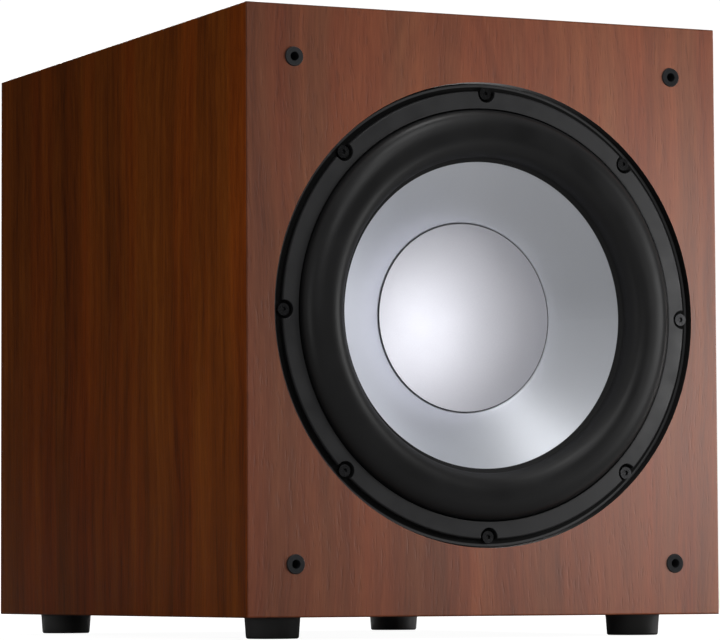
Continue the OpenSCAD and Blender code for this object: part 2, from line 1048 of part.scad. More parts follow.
// A board with two tags, standing on the lowest spoke of the basket
module driver_terminals() {
    color(charcoal)
        on_driver_axis()
            difference() {
                union() {
                    translate([-terminal_w / 2, basket_r(terminal_depth) - terminal_t, terminal_depth])
                        cube([terminal_w, terminal_r - basket_r(terminal_depth) + terminal_t, terminal_t]);
                    for (side = [-1, 1]) {
                        translate([side * lead_gap - terminal_t / 2, terminal_r - terminal_h, terminal_depth])
                            cube([terminal_t, terminal_h + terminal_t, terminal_t * 2]);
                    }
                }
                rotate_extrude($fn = fine_fn)
                    polygon([
                        [0, flange_top], [basket_top_r + basket_t, flange_bottom],
                        [seat_r + basket_t, seat_depth], [0, seat_depth]
                    ]);
            }
}

module tinsel_leads() {
    color(copper)
        on_driver_axis()
            for (side = [-1, 1]) {
                swept_tube(softened([for (p = lead_points) [side * lead_gap, p[0], p[1]]]), lead_r);
            }
}

// ---- Amplifier ----

module amp_plate() {
    color(black_metal)
        difference() {
            translate([0, cabinet_d + plate_out, plate_z])
                rotate([90, 0, 0])
                    linear_extrude(height = plate_t)
                        round_rect(plate_w, plate_h, plate_corner);
            amp_screw_holes();
            for (x = [knob_x, knob_x + knob_pitch]) {
                on_plate(x, knob_z, plate_in - over)
                    cylinder(r = bushing_r, h = plate_t + 2 * over, $fn = small_fn);
                plate_box(x, switch_z, switch_slot_w, switch_slot_h, plate_in - over, plate_out + over);
            }
            jack_places()
                translate([0, 0, plate_in - over])
                    cylinder(r = jack_r, h = plate_t + 2 * over, $fn = small_fn);
            on_plate(led_x, led_z, plate_in - over)
                cylinder(r = led_r, h = plate_t + 2 * over, $fn = small_fn);
            plate_box(inlet_x, inlet_z, body_w, body_h, plate_in - over, plate_out + over);
            plate_box(rocker_x, rocker_z, rocker_body_w, rocker_body_h, plate_in - over, plate_out + over);
            inlet_screw_places()
                translate([0, 0, plate_in - over])
                    cylinder(r = inlet_screw_r, h = plate_t + 2 * over, $fn = small_fn);
            on_plate(toroid_x, toroid_z, plate_in - over)
                cylinder(r = bolt_r, h = plate_t + 2 * over, $fn = small_fn);
        }
}

module amp_gasket() {
    color(black_rubber)
        difference() {
            translate([0, cabinet_d + amp_gasket_t, plate_z])
                rotate([90, 0, 0])
                    linear_extrude(height = amp_gasket_t)
                        difference() {
                            round_rect(plate_w, plate_h, plate_corner);
                            square([hatch_w, hatch_h], center = true);
                        }
            amp_screw_holes();
        }
}

// Ten screws hold the plate, and two smaller ones hold the mains inlet
module amp_screws() {
    inlet_shank = inlet_flange_t + plate_t + inlet_screw_tip;
    color(black_metal) {
        amp_screw_places()
            rotate([180, 0, 0])
                pan_screw(amp_head_r, amp_head_h, amp_shank_r, amp_shank_len);
        inlet_screw_places()
            translate([0, 0, plate_out + inlet_flange_t])
                rotate([180, 0, 0])
                    pan_screw(inlet_head_r, inlet_head_h, inlet_screw_r, inlet_shank);
    }
}

// Upright fins on a flat base
module heatsink() {
    fin_pitch = (sink_w - fin_t) / (fin_count - 1);
    color(black_metal) {
        plate_box(sink_x, sink_z, sink_w, sink_h, plate_out, plate_out + sink_base);
        for (i = [0 : fin_count - 1]) {
            plate_box(
                sink_x - (sink_w - fin_t) / 2 + i * fin_pitch, sink_z, fin_t, sink_h,
                plate_out, plate_out + sink_base + fin_h
            );
        }
    }
}

// Flat packages clamped to the plate, with legs that reach the main board
module power_transistors() {
    row_w = transistor_pitch * (transistor_count - 1);
    color(black_plastic)
        for (i = [0 : transistor_count - 1]) {
            x = main_x - row_w / 2 + i * transistor_pitch;
            plate_box(x, transistor_z, transistor_w, transistor_h, plate_in - transistor_t, plate_in);
            for (leg = [-1, 0, 1]) {
                plate_box(
                    x + leg * leg_pitch, transistor_z - transistor_h / 2 + leg_w / 2, leg_w, leg_w,
                    plate_in - main_gap, plate_in - transistor_t
                );
            }
        }
}

// Corners of a board, pointing outward along +Z from the board's outer face
module board_corners(x, z, w, h, gap) {
    for (i = [-1, 1], j = [-1, 1]) {
        on_plate(x + i * (w / 2 - board_hole_in), z + j * (h / 2 - board_hole_in), plate_in - gap)
            children();
    }
}

module main_board() {
    color(board_green)
        plate_box(main_x, main_z, main_w, main_h, plate_in - main_gap - board_t, plate_in - main_gap);
}

module control_board() {
    color(board_green)
        plate_box(
            control_x, control_z, control_w, control_h,
            plate_in - control_gap - board_t, plate_in - control_gap
        );
}

module board_standoffs() {
    color(steel) {
        board_corners(main_x, main_z, main_w, main_h, main_gap)
            cylinder(r = standoff_r, h = main_gap, $fn = 6);
        board_corners(control_x, control_z, control_w, control_h, control_gap)
            cylinder(r = standoff_r, h = control_gap, $fn = 6);
    }
}

// Two cans on the far side of the main board, with a crimp near the board
module filter_capacitors() {
    can_top = plate_in - main_gap - board_t - capacitor_len;
    color(charcoal)
        for (side = [-1, 1]) {
            on_plate(main_x + side * capacitor_pitch / 2, capacitor_z, can_top)
                difference() {
                    cylinder(r = capacitor_r, h = capacitor_len);
                    translate([0, 0, capacitor_len - crimp_depth])
                        rotate_extrude()
                            translate([capacitor_r, 0])
                                circle(r = crimp_r, $fn = small_fn);
                }
        }
}

module transformer() {
    color(copper)
        on_plate(toroid_x, toroid_z, plate_in - toroid_h)
            rotate_extrude()
                translate([(toroid_r + toroid_bore_r) / 2, toroid_h / 2])
                    round_rect(toroid_r - toroid_bore_r, toroid_h, toroid_round);
}

// A dished plate that presses the winding against the amplifier plate
module transformer_cap() {
    color(steel)
        on_plate(toroid_x, toroid_z, plate_in - toroid_h)
            rotate_extrude()
                polygon([
                    [bolt_r, cap_dish], [cap_dish_r, cap_dish],
                    [cap_dish_r + cap_slope_w, 0], [cap_plate_r, 0], [cap_plate_r, -cap_plate_t],
                    [cap_dish_r + cap_slope_w - cap_plate_t / 2, -cap_plate_t],
                    [cap_dish_r - cap_plate_t / 2, cap_dish - cap_plate_t], [bolt_r, cap_dish - cap_plate_t]
                ]);
}

module transformer_bolt() {
    color(steel)
        on_plate(toroid_x, toroid_z, plate_out) {
            cylinder(r = bolt_head_r, h = bolt_head_h, $fn = 6);
            translate([0, 0, -plate_t - toroid_h + cap_dish - cap_plate_t - nut_h])
                cylinder(r = bolt_r, h = plate_t + toroid_h - cap_dish + cap_plate_t + nut_h, $fn = small_fn);
            translate([0, 0, -plate_t - toroid_h + cap_dish - cap_plate_t - nut_h])
                cylinder(r = nut_r, h = nut_h, $fn = 6);
        }
}

// A knob with a raised pointer, hollow underneath to clear the bushing
module knob(x) {
    color(black_plastic)
        on_plate(x, knob_z, plate_out + knob_gap)
            difference() {
                union() {
                    cylinder(r = knob_d / 2, h = knob_skirt_h);
                    cylinder(r1 = knob_d / 2 - knob_step, r2 = knob_top_r, h = knob_h);
                    translate([-pointer_w / 2, -knob_top_r, 0])
                        cube([pointer_w, knob_top_r, knob_h + pointer_rise]);
                }
                translate([0, 0, -over])
                    cylinder(r = knob_hollow_r, h = knob_hollow_h + over);
                cylinder(r = shaft_r, h = shaft_len - knob_gap, $fn = small_fn);
            }
}

module pot_shaft(x) {
    color(steel)
        on_plate(x, knob_z, plate_out - plate_t + play)
            cylinder(r = shaft_r, h = shaft_len + plate_t - play, $fn = small_fn);
}

// The square case behind the plate and the threaded bushing through it
module pot(x) {
    color(steel)
        on_plate(x, knob_z, plate_in - control_gap)
            difference() {
                union() {
                    translate([-pot_w / 2, -pot_w / 2, 0])
                        cube([pot_w, pot_w, control_gap]);
                    cylinder(r = bushing_r, h = control_gap + plate_t + bushing_len, $fn = small_fn);
                }
                translate([0, 0, control_gap])
                    cylinder(r = shaft_r + bushing_play, h = plate_t + bushing_len + over, $fn = small_fn);
            }
}

module level_knob() {
    knob(knob_x);
}

module level_shaft() {
    pot_shaft(knob_x);
}

module level_pot() {
    pot(knob_x);
}

module crossover_knob() {
    knob(knob_x + knob_pitch);
}

module crossover_shaft() {
    pot_shaft(knob_x + knob_pitch);
}

module crossover_pot() {
    pot(knob_x + knob_pitch);
}

// A slide switch: its case behind the plate has a pocket for the lever's foot
module slide_switch_body(x) {
    color(charcoal)
        difference() {
            plate_box(x, switch_z, switch_w, switch_h, plate_in - control_gap, plate_in);
            plate_box(x, switch_z, switch_slot_w, switch_slot_h, plate_in - lever_in - play, plate_in + over);
        }
}

// The lever rests at the end of its slot nearest the cabinet's left side
module slide_switch_lever(x) {
    color(black_plastic)
        plate_box(
            x - switch_travel / 2, switch_z, lever_w, lever_h,
            plate_in - lever_in, plate_out + lever_out
        );
}

module phase_switch_body() {
    slide_switch_body(knob_x);
}

module phase_switch_lever() {
    slide_switch_lever(knob_x);
}

module mode_switch_body() {
    slide_switch_body(knob_x + knob_pitch);
}

module mode_switch_lever() {
    slide_switch_lever(knob_x + knob_pitch);
}

module jack_places() {
    for (i = [0 : jack_count - 1]) {
        on_plate(knob_x + i * jack_pitch, jack_z, 0)
            children();
    }
}

// Line input barrels with a nut outside and a square case behind the plate
module rca_jacks() {
    color(gold)
        jack_places()
            difference() {
                union() {
                    translate([-jack_body_w / 2, -jack_body_w / 2, plate_in - control_gap])
                        cube([jack_body_w, jack_body_w, control_gap]);
                    translate([0, 0, plate_in])
                        cylinder(r = jack_r, h = plate_t + jack_len, $fn = small_fn);
                    translate([0, 0, plate_out])
                        cylinder(r = jack_nut_r, h = jack_nut_h, $fn = 6);
                }
                translate([0, 0, plate_in])
                    cylinder(r = jack_bore_r, h = plate_t + jack_len + over, $fn = small_fn);
            }
}

module rca_insulators() {
    color(insulator_white)
        jack_places()
            washer(jack_bore_r, pin_bore_r, plate_in, plate_out + jack_len - over, $fn = small_fn);
}

module inlet_screw_places() {
    for (side = [-1, 1]) {
        on_plate(inlet_x + side * inlet_screw_x, inlet_z, 0)
            children();
    }
}

// The recess that takes a three pole mains plug, with two corners cut off
module inlet_recess() {
    half = socket_w / 2;
    high = socket_h / 2;
    translate([inlet_x, cabinet_d + plate_out + inlet_flange_t + over, plate_z + inlet_z + socket_up])
        rotate([90, 0, 0])
            linear_extrude(height = socket_depth + over)
                polygon([
                    [-half, -high], [half, -high], [half, high - socket_chamfer],
                    [half - socket_chamfer, high], [-half + socket_chamfer, high],
                    [-half, high - socket_chamfer]
                ]);
}

module mains_inlet() {
    face = plate_out + inlet_flange_t;
    color(black_plastic)
        difference() {
            union() {
                translate([inlet_x, cabinet_d + face, plate_z + inlet_z])
                    rotate([90, 0, 0])
                        linear_extrude(height = inlet_flange_t)
                            round_rect(inlet_w, inlet_h, inlet_corner);
                plate_box(inlet_x, inlet_z, body_w, body_h, face - body_depth, plate_out);
            }
            inlet_recess();
            plate_box(
                inlet_x, inlet_z - drawer_down, drawer_w + 2 * play, drawer_h + 2 * play,
                face - drawer_depth - play, face + over
            );
            inlet_screw_places()
                translate([0, 0, plate_out - over])
                    cylinder(r = inlet_screw_r, h = inlet_flange_t + 2 * over, $fn = small_fn);
        }
}

module inlet_pins() {
    root = plate_out + inlet_flange_t - socket_depth;
    blades = [[0, earth_up], [-blade_pitch, -line_down], [blade_pitch, -line_down]];
    color(bright_silver)
        for (b = blades) {
            plate_box(
                inlet_x + b[0], inlet_z + socket_up + b[1], blade_w, blade_h, root, root + blade_len
            );
        }
}

// A shallow drawer with a pocket across it for the fuse
module fuse_drawer() {
    face = plate_out + inlet_flange_t;
    z = inlet_z - drawer_down;
    color(charcoal)
        difference() {
            plate_box(inlet_x, z, drawer_w, drawer_h, face - drawer_depth, face + drawer_lip);
            plate_box(
                inlet_x, z + drawer_h / 4, fuse_len + 2 * play, drawer_h / 2 + over,
                face - fuse_depth - fuse_r - play, face - fuse_depth + fuse_r + play
            );
            plate_box(
                inlet_x, z, fuse_len + 2 * play, 2 * fuse_r + 2 * play,
                face - fuse_depth - fuse_r - play, face - fuse_depth + fuse_r + play
            );
        }
}

module fuse() {
    face = plate_out + inlet_flange_t;
    color(clear_glass)
        translate([inlet_x - fuse_len / 2, cabinet_d + face - fuse_depth, plate_z + inlet_z - drawer_down])
            rotate([0, 90, 0]) {
                cylinder(r = fuse_glass_r, h = fuse_len, $fn = small_fn);
                cylinder(r = fuse_r, h = fuse_cap_len, $fn = small_fn);
                translate([0, 0, fuse_len - fuse_cap_len])
                    cylinder(r = fuse_r, h = fuse_cap_len, $fn = small_fn);
            }
}

module rocker_housing() {
    color(black_plastic)
        difference() {
            union() {
                plate_box(rocker_x, rocker_z, rocker_w, rocker_h, plate_out, plate_out + rocker_rim_t);
                plate_box(
                    rocker_x, rocker_z, rocker_body_w, rocker_body_h,
                    plate_in - rocker_body_depth, plate_out
                );
            }
            plate_box(
                rocker_x, rocker_z, rocker_cap_w + 4 * play, rocker_cap_h + 2 * play,
                plate_in - rocker_body_depth + rocker_floor_t, plate_out + rocker_rim_t + over
            );
            rocker_pivot_pin(rocker_pin_r + play, rocker_pin_len + play);
        }
}

// A round pin along Z that sticks out of both ends of the rocker
module rocker_pivot_pin(r, reach) {
    translate([rocker_x, cabinet_d + rocker_pivot, plate_z + rocker_z - rocker_cap_h / 2 - reach])
        cylinder(r = r, h = rocker_cap_h + 2 * reach, $fn = small_fn);
}

// A rocking cap whose two wings meet in a shallow valley over its pivot
module power_rocker() {
    wing_tip = rocker_wing + rocker_cap_w / 2 * tan(rocker_tilt);
    color(charcoal) {
        rocker_pivot_pin(rocker_pin_r, rocker_pin_len);
        translate([rocker_x, cabinet_d + rocker_pivot, plate_z + rocker_z + rocker_cap_h / 2])
            rotate([180, 0, 0])
                rotate([0, 0, rocker_tilt])
                    linear_extrude(height = rocker_cap_h)
                        polygon([
                            [-rocker_cap_w / 2 + play, -wing_tip], [0, -rocker_wing],
                            [rocker_cap_w / 2 - play, -wing_tip], [rocker_cap_w / 2 - play, 0],
                            [0, rocker_core], [-rocker_cap_w / 2 + play, 0]
                        ]);
    }
}

module indicator_led() {
    color(led_blue)
        on_plate(led_x, led_z, 0) {
            translate([0, 0, plate_in - control_gap])
                cylinder(r = led_r, h = control_gap + plate_t, $fn = small_fn);
            translate([0, 0, plate_out])
                cylinder(r = led_rim_r, h = led_rim_h, $fn = small_fn);
            translate([0, 0, plate_out + led_rim_h])
                intersection() {
                    sphere(r = led_r, $fn = small_fn);
                    cylinder(r = led_r + over, h = led_r + over, $fn = small_fn);
                }
        }
}

module speaker_wires() {
    color(black_rubber)
        for (side = [-1, 1]) {
            swept_tube(
                softened(concat(
                    [for (p = wire_route) [p[0] + side * wire_gap / 2, p[1], p[2]]],
                    [for (p = wire_end) [side * lead_gap, p[0], p[1]]]
                )),
                wire_r
            );
        }
}

in_frame() top_panel();
in_frame() bottom_panel();
in_frame() left_panel();
in_frame() right_panel();
in_frame() front_baffle();
in_frame() rear_panel();
in_frame() window_brace();
in_frame() damping_wadding();
in_frame() grille_sockets();
in_frame() feet();
in_frame() foot_screws();
in_frame() port_tube();
in_frame() driver_flange();
in_frame() driver_basket();
in_frame() driver_seal();
in_frame() driver_gasket();
in_frame() surround();
in_frame() cone();
in_frame() dust_cap();
in_frame() voice_coil_former();
in_frame() voice_coil();
in_frame() spider();
in_frame() magnet_top_plate();
in_frame() magnet_ring();
in_frame() t_yoke();
in_frame() driver_screws();
in_frame() driver_terminals();
in_frame() tinsel_leads();
in_frame() amp_plate();
in_frame() amp_gasket();
in_frame() amp_screws();
in_frame() heatsink();
in_frame() power_transistors();
in_frame() main_board();
in_frame() control_board();
in_frame() board_standoffs();
in_frame() filter_capacitors();
in_frame() transformer();
in_frame() transformer_cap();
in_frame() transformer_bolt();
in_frame() level_knob();
in_frame() level_shaft();
in_frame() level_pot();
in_frame() crossover_knob();
in_frame() crossover_shaft();
in_frame() crossover_pot();
in_frame() phase_switch_body();
in_frame() phase_switch_lever();
in_frame() mode_switch_body();
in_frame() mode_switch_lever();
in_frame() rca_jacks();
in_frame() rca_insulators();
in_frame() mains_inlet();
in_frame() inlet_pins();
in_frame() fuse_drawer();
in_frame() fuse();
in_frame() rocker_housing();
in_frame() power_rocker();
in_frame() indicator_led();
in_frame() speaker_wires();
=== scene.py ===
"""Looks of a powered subwoofer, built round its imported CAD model.

The frame's own nodes keep their shape and get procedural materials. The soft parts (surround, spider,
wadding, leads) are modelled here, and so is fine detail such as a glue line and printed scale marks.
"""

import json
import math

import bmesh
import bpy
import numpy as np
from mathutils import Matrix, Vector


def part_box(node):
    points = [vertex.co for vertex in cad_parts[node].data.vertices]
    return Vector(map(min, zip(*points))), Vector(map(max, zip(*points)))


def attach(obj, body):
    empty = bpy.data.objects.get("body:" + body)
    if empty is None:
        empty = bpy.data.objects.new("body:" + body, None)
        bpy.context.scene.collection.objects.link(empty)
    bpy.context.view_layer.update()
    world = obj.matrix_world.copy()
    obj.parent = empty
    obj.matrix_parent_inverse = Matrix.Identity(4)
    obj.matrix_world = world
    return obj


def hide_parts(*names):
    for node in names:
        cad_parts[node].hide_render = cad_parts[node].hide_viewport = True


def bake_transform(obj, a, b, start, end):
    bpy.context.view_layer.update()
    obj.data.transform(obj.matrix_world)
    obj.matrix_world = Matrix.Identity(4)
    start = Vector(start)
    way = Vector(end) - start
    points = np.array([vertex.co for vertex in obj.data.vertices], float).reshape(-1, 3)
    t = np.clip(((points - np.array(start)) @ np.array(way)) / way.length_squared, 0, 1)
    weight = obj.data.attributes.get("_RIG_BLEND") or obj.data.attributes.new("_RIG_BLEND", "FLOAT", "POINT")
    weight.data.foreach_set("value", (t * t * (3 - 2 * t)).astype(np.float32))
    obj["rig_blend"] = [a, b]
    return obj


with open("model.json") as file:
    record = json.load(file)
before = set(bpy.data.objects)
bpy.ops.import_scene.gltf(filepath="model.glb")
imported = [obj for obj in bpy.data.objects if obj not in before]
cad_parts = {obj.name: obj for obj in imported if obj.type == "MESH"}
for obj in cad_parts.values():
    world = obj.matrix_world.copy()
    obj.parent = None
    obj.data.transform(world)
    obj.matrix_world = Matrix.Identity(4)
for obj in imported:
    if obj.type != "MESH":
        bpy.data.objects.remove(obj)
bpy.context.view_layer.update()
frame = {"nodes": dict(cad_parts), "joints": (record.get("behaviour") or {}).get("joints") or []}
nodes = frame["nodes"]

MM = 0.001
X, Y, Z = 0, 1, 2

# ---- Measures read from the frame ----

cabinet_lo = Vector(map(min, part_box("left_panel")[0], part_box("bottom_panel")[0]))
cabinet_hi = Vector(map(max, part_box("right_panel")[1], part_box("top_panel")[1]))
front_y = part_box("front_baffle")[0].y
flange_lo, flange_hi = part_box("driver_flange")
driver_z = (flange_lo.z + flange_hi.z) / 2
plate_outer_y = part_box("amp_plate")[1].y
joints = {j["name"]: j for j in frame["joints"]}


# ---- Camera ----

CAMERA_PLACE = Vector((-1.2315, -2.671, 0.0383))
CAMERA_YAW = math.radians(25.07)
CAMERA_TILT = math.radians(3.74)
CAMERA_ROLL = math.radians(-0.25)
CAMERA_LENS = 200.0


def make_camera():
    """A long lens just above the floor, left of the driver's axis and looking slightly up."""
    ahead = Vector((
        math.sin(CAMERA_YAW) * math.cos(CAMERA_TILT),
        math.cos(CAMERA_YAW) * math.cos(CAMERA_TILT),
        math.sin(CAMERA_TILT),
    ))
    level_right = Vector((math.cos(CAMERA_YAW), -math.sin(CAMERA_YAW), 0))
    level_up = level_right.cross(ahead)
    right = level_right * math.cos(CAMERA_ROLL) + level_up * math.sin(CAMERA_ROLL)
    up = right.cross(ahead)
    data = bpy.data.cameras.new("camera")
    data.lens = CAMERA_LENS
    data.sensor_width = 36.0
    data.clip_start = 0.1
    data.clip_end = 60.0
    camera = bpy.data.objects.new("camera", data)
    camera.matrix_world = Matrix((right, up, -ahead)).transposed().to_4x4()
    camera.location = CAMERA_PLACE
    bpy.context.scene.collection.objects.link(camera)
    bpy.context.scene.camera = camera


make_camera()


# ---- Materials ----


class Shader:
    """A Principled material under construction, with short calls for the nodes that it uses."""

    def __init__(self, name, color=(0.5, 0.5, 0.5), roughness=0.5, metallic=0.0, **sockets):
        self.material = bpy.data.materials.new(name)
        self.material.use_nodes = True
        self.tree = self.material.node_tree
        self.surface = self.tree.nodes["Principled BSDF"]
        self.set("Base Color", (*color, 1.0))
        self.set("Roughness", roughness)
        self.set("Metallic", metallic)
        for socket, value in sockets.items():
            self.set(socket.replace("_", " ").title().replace("Ior", "IOR"), value)
        self.object = self.node("ShaderNodeTexCoord").outputs["Object"]

    def node(self, kind, **settings):
        """Adds a node and gives it its settings."""
        made = self.tree.nodes.new(kind)
        for key, value in settings.items():
            setattr(made, key, value)
        return made

    def feed(self, socket, source):
        """Links a socket to an output, or gives it a plain value."""
        if isinstance(source, bpy.types.NodeSocket):
            self.tree.links.new(source, socket)
        else:
            socket.default_value = source

    def set(self, name, source):
        """Feeds one of the surface's own sockets."""
        self.feed(self.surface.inputs[name], source)

    def math(self, operation, a, b=0.0):
        made = self.node("ShaderNodeMath", operation=operation)
        self.feed(made.inputs[0], a)
        self.feed(made.inputs[1], b)
        return made.outputs[0]

    def split(self):
        """The three coordinates of the point that is shaded, in metres."""
        made = self.node("ShaderNodeSeparateXYZ")
        self.feed(made.inputs[0], self.object)
        return list(made.outputs)

    def join(self, x, y, z):
        made = self.node("ShaderNodeCombineXYZ")
        for socket, source in zip(made.inputs, (x, y, z)):
            self.feed(socket, source)
        return made.outputs[0]

    def noise(self, vector=None, scale=1.0, detail=2.0, roughness=0.5):
        made = self.node("ShaderNodeTexNoise")
        self.feed(made.inputs["Vector"], vector or self.object)
        made.inputs["Scale"].default_value = scale
        made.inputs["Detail"].default_value = detail
        made.inputs["Roughness"].default_value = roughness
        return made.outputs["Fac"]

    def cells(self, scale):
        """Distance from the middle of the nearest of some scattered cells."""
        made = self.node("ShaderNodeTexVoronoi")
        self.feed(made.inputs["Vector"], self.object)
        made.inputs["Scale"].default_value = scale
        return made.outputs["Distance"]

    def span(self, value, low, high, to_low=0.0, to_high=1.0):
        """Maps low..high to to_low..to_high, held at both ends."""
        made = self.node("ShaderNodeMapRange", clamp=True)
        for socket, source in zip(made.inputs, (value, low, high, to_low, to_high)):
            self.feed(socket, source)
        return made.outputs[0]

    def mix(self, factor, a, b, blend="MIX"):
        made = self.node("ShaderNodeMix", data_type="RGBA", blend_type=blend)
        self.feed(made.inputs[0], factor)
        for socket, source in zip(made.inputs[6:8], (a, b)):
            self.feed(socket, (*source, 1.0) if isinstance(source, tuple) else source)
        return made.outputs[2]

    def ramp(self, factor, *stops):
        """Colours along a scale. Each stop is a place and a colour."""
        made = self.node("ShaderNodeValToRGB")
        elements = made.color_ramp.elements
        for element, (place, color) in zip(elements, (stops[0], stops[-1])):
            element.position = place
            element.color = (*color, 1.0)
        for place, color in stops[1:-1]:
            elements.new(place).color = (*color, 1.0)
        self.feed(made.inputs[0], factor)
        return made.outputs[0]

    def bump(self, height, distance):
        """Raises the surface by up to distance where height is 1."""
        made = self.node("ShaderNodeBump")
        made.inputs["Distance"].default_value = distance
        self.feed(made.inputs["Height"], height)
        self.set("Normal", made.outputs[0])

    def radius(self):
        """Distance from the driver's axis."""
        x, _, z = self.split()
        off_z = self.math("SUBTRACT", z, driver_z)
        square = self.math("ADD", self.math("MULTIPLY", x, x), self.math("MULTIPLY", off_z, off_z))
        return self.math("SQRT", square)


FIBREBOARD = (0.36, 0.25, 0.15)
OPENING_BLACK = (0.006, 0.005, 0.005)
VENEER_WARMTH = (1.16, 0.94, 0.80)
# How far the grain wanders, in metres, and how sharply arched figure bends
GRAIN_WANDER = 0.030
ARCH_BEND = 38.0
# What each width of streak adds to the figure, and how much the open pores darken it
BAND_SHARE, STREAK_SHARE, FIBRE_SHARE = 0.42, 0.32, 0.26
PORE_SHADE = 0.32
# Where in the figure each of a veneer's four tones lies
TONE_PLACES = (0.36, 0.47, 0.55, 0.66)
# Depth to which the veneer's look reaches into a board
SKIN = 1.5 * MM
# The wall of the driver's opening is coloured black: how far past the flange, and from which depth
BLACK_REACH = 1.4 * MM
BLACK_START = 0.25 * MM
# Painted shadow of the trim ring blackens the flange inside its grey rim: how far in it is full, and where
# it is gone
PAINTED_SHADOW_FULL, PAINTED_SHADOW_GONE = 2.0 * MM, 1.6 * MM
# The dull part of the surround: how much rougher it is, and over what width that fades out
ADDED_DULLNESS = 0.34
DULL_FADE = 5 * MM
FUSE_GLASS_HALF = 5 * MM
CAN_STRIPE = 3 * MM
WINDING_TURNS = 150.0


def outer_skin(s):
    """1 within a veneer's depth of the cabinet's outer faces, 0 inside."""
    depth = None
    for axis, place in enumerate(s.split()):
        for edge, sign in ((cabinet_lo[axis], 1.0), (cabinet_hi[axis], -1.0)):
            inward = s.math("MULTIPLY", s.math("SUBTRACT", place, edge), sign)
            depth = inward if depth is None else s.math("MINIMUM", depth, inward)
    return s.math("LESS_THAN", depth, SKIN)


def veneer(name, across, along, seed, tones, rebate=False, cathedral=None, bloom=0.0, gloss=0.16):
    """Lacquered veneer: wide bands, streaks and short open pores that all run along the grain.

    across and along are the axes of the board. cathedral is the place, start and reach of arched figure.
    With rebate, the wall of the driver's opening is coloured black.
    """
    s = Shader(name, roughness=0.42, specular_ior_level=gloss, sheen_weight=bloom, sheen_roughness=0.4)
    place = s.split()
    third = 3 - across - along
    u = s.math("ADD", place[across], place[third])
    v = place[along]
    drift = s.noise(s.join(s.math("MULTIPLY", u, 5.0), s.math("MULTIPLY", v, 4.0), seed), detail=2.0)
    u = s.math("ADD", u, s.math("MULTIPLY", drift, GRAIN_WANDER))

    def grain(across_scale, along_scale, shift, detail):
        """Noise that is drawn out along the grain."""
        return s.noise(
            s.join(s.math("MULTIPLY", u, across_scale), s.math("MULTIPLY", v, along_scale), seed + shift),
            detail=detail, roughness=0.6,
        )

    bands = grain(24.0, 1.3, 3.1, 3.0)
    streaks = grain(120.0, 5.0, 7.7, 4.0)
    fibres = grain(560.0, 34.0, 11.3, 3.0)
    pores = s.span(grain(620.0, 75.0, 17.9, 2.0), 0.57, 0.70)
    if cathedral:
        middle, height, reach = cathedral
        off = s.math("SUBTRACT", place[across], middle)
        arch = s.math("ADD", v, s.math("MULTIPLY", s.math("MULTIPLY", off, off), ARCH_BEND))
        rings = s.noise(
            s.join(s.math("MULTIPLY", arch, 34.0), s.math("MULTIPLY", off, 3.0), seed), detail=3.0
        )
        near = s.span(s.math("ABSOLUTE", off), 0.2 * reach, reach, 1.0, 0.0)
        near = s.math("MULTIPLY", near, s.span(v, height, height + 0.06))
        mixed = s.node("ShaderNodeMix", data_type="FLOAT")
        for socket, source in zip(mixed.inputs[:1] + mixed.inputs[2:4], (near, streaks, rings)):
            s.feed(socket, source)
        streaks = mixed.outputs[0]
    figure = s.math("MULTIPLY", bands, BAND_SHARE)
    figure = s.math("ADD", figure, s.math("MULTIPLY", streaks, STREAK_SHARE))
    figure = s.math("ADD", figure, s.math("MULTIPLY", fibres, FIBRE_SHARE))
    wood = s.ramp(figure, *zip(TONE_PLACES, tones))
    warmth = s.span(grain(30.0, 1.8, 29.3, 2.0), 0.40, 0.62)
    wood = s.mix(warmth, wood, s.mix(1.0, wood, VENEER_WARMTH, "MULTIPLY"))
    wood = s.mix(s.math("MULTIPLY", pores, PORE_SHADE), wood, tones[0])
    if rebate:
        black_wall = s.math("LESS_THAN", s.radius(), flange_hi.x + BLACK_REACH)
        black_wall = s.math("MULTIPLY", black_wall, s.math("GREATER_THAN", place[Y], front_y + BLACK_START))
        wood = s.mix(black_wall, wood, OPENING_BLACK)
        board = s.mix(black_wall, FIBREBOARD, OPENING_BLACK)
    else:
        board = s.mix(s.noise(scale=900.0), FIBREBOARD, tuple(0.7 * c for c in FIBREBOARD))
    s.set("Base Color", s.mix(outer_skin(s), board, wood))
    s.set("Roughness", s.math("ADD", 0.36, s.math("MULTIPLY", fibres, 0.14)))
    s.bump(s.math("SUBTRACT", fibres, s.math("MULTIPLY", pores, 0.8)), 0.05 * MM)
    return s.material


# Darkest to lightest
FRONT_TONES = (
    (0.046, 0.0118, 0.0038), (0.074, 0.0195, 0.0062), (0.090, 0.0255, 0.0086), (0.115, 0.036, 0.0128),
)
SIDE_TONES = (
    (0.040, 0.0088, 0.0015), (0.080, 0.0185, 0.0022), (0.106, 0.026, 0.0030), (0.140, 0.039, 0.0048),
)


def rubber(name, color=(0.008, 0.008, 0.0083), roughness=0.42, grain=1400.0, specular=0.3,
           dull_inside=0.0):
    """Moulded rubber with a faint bloom and a fine skin texture.

    Inside the radius dull_inside, toward the cone, it is duller.
    """
    s = Shader(name, color, roughness, specular_ior_level=specular)
    bloom = s.noise(scale=26.0, detail=3.0)
    s.set("Base Color", s.mix(bloom, color, tuple(1.4 * c + 0.001 for c in color)))
    polish = s.span(bloom, 0.3, 0.7, roughness - 0.04, roughness + 0.06)
    if dull_inside:
        fade = s.span(s.radius(), dull_inside - DULL_FADE, dull_inside, ADDED_DULLNESS, 0.0)
        polish = s.math("ADD", polish, fade)
    s.set("Roughness", polish)
    s.bump(s.noise(scale=grain, detail=2.0), 0.02 * MM)
    return s.material


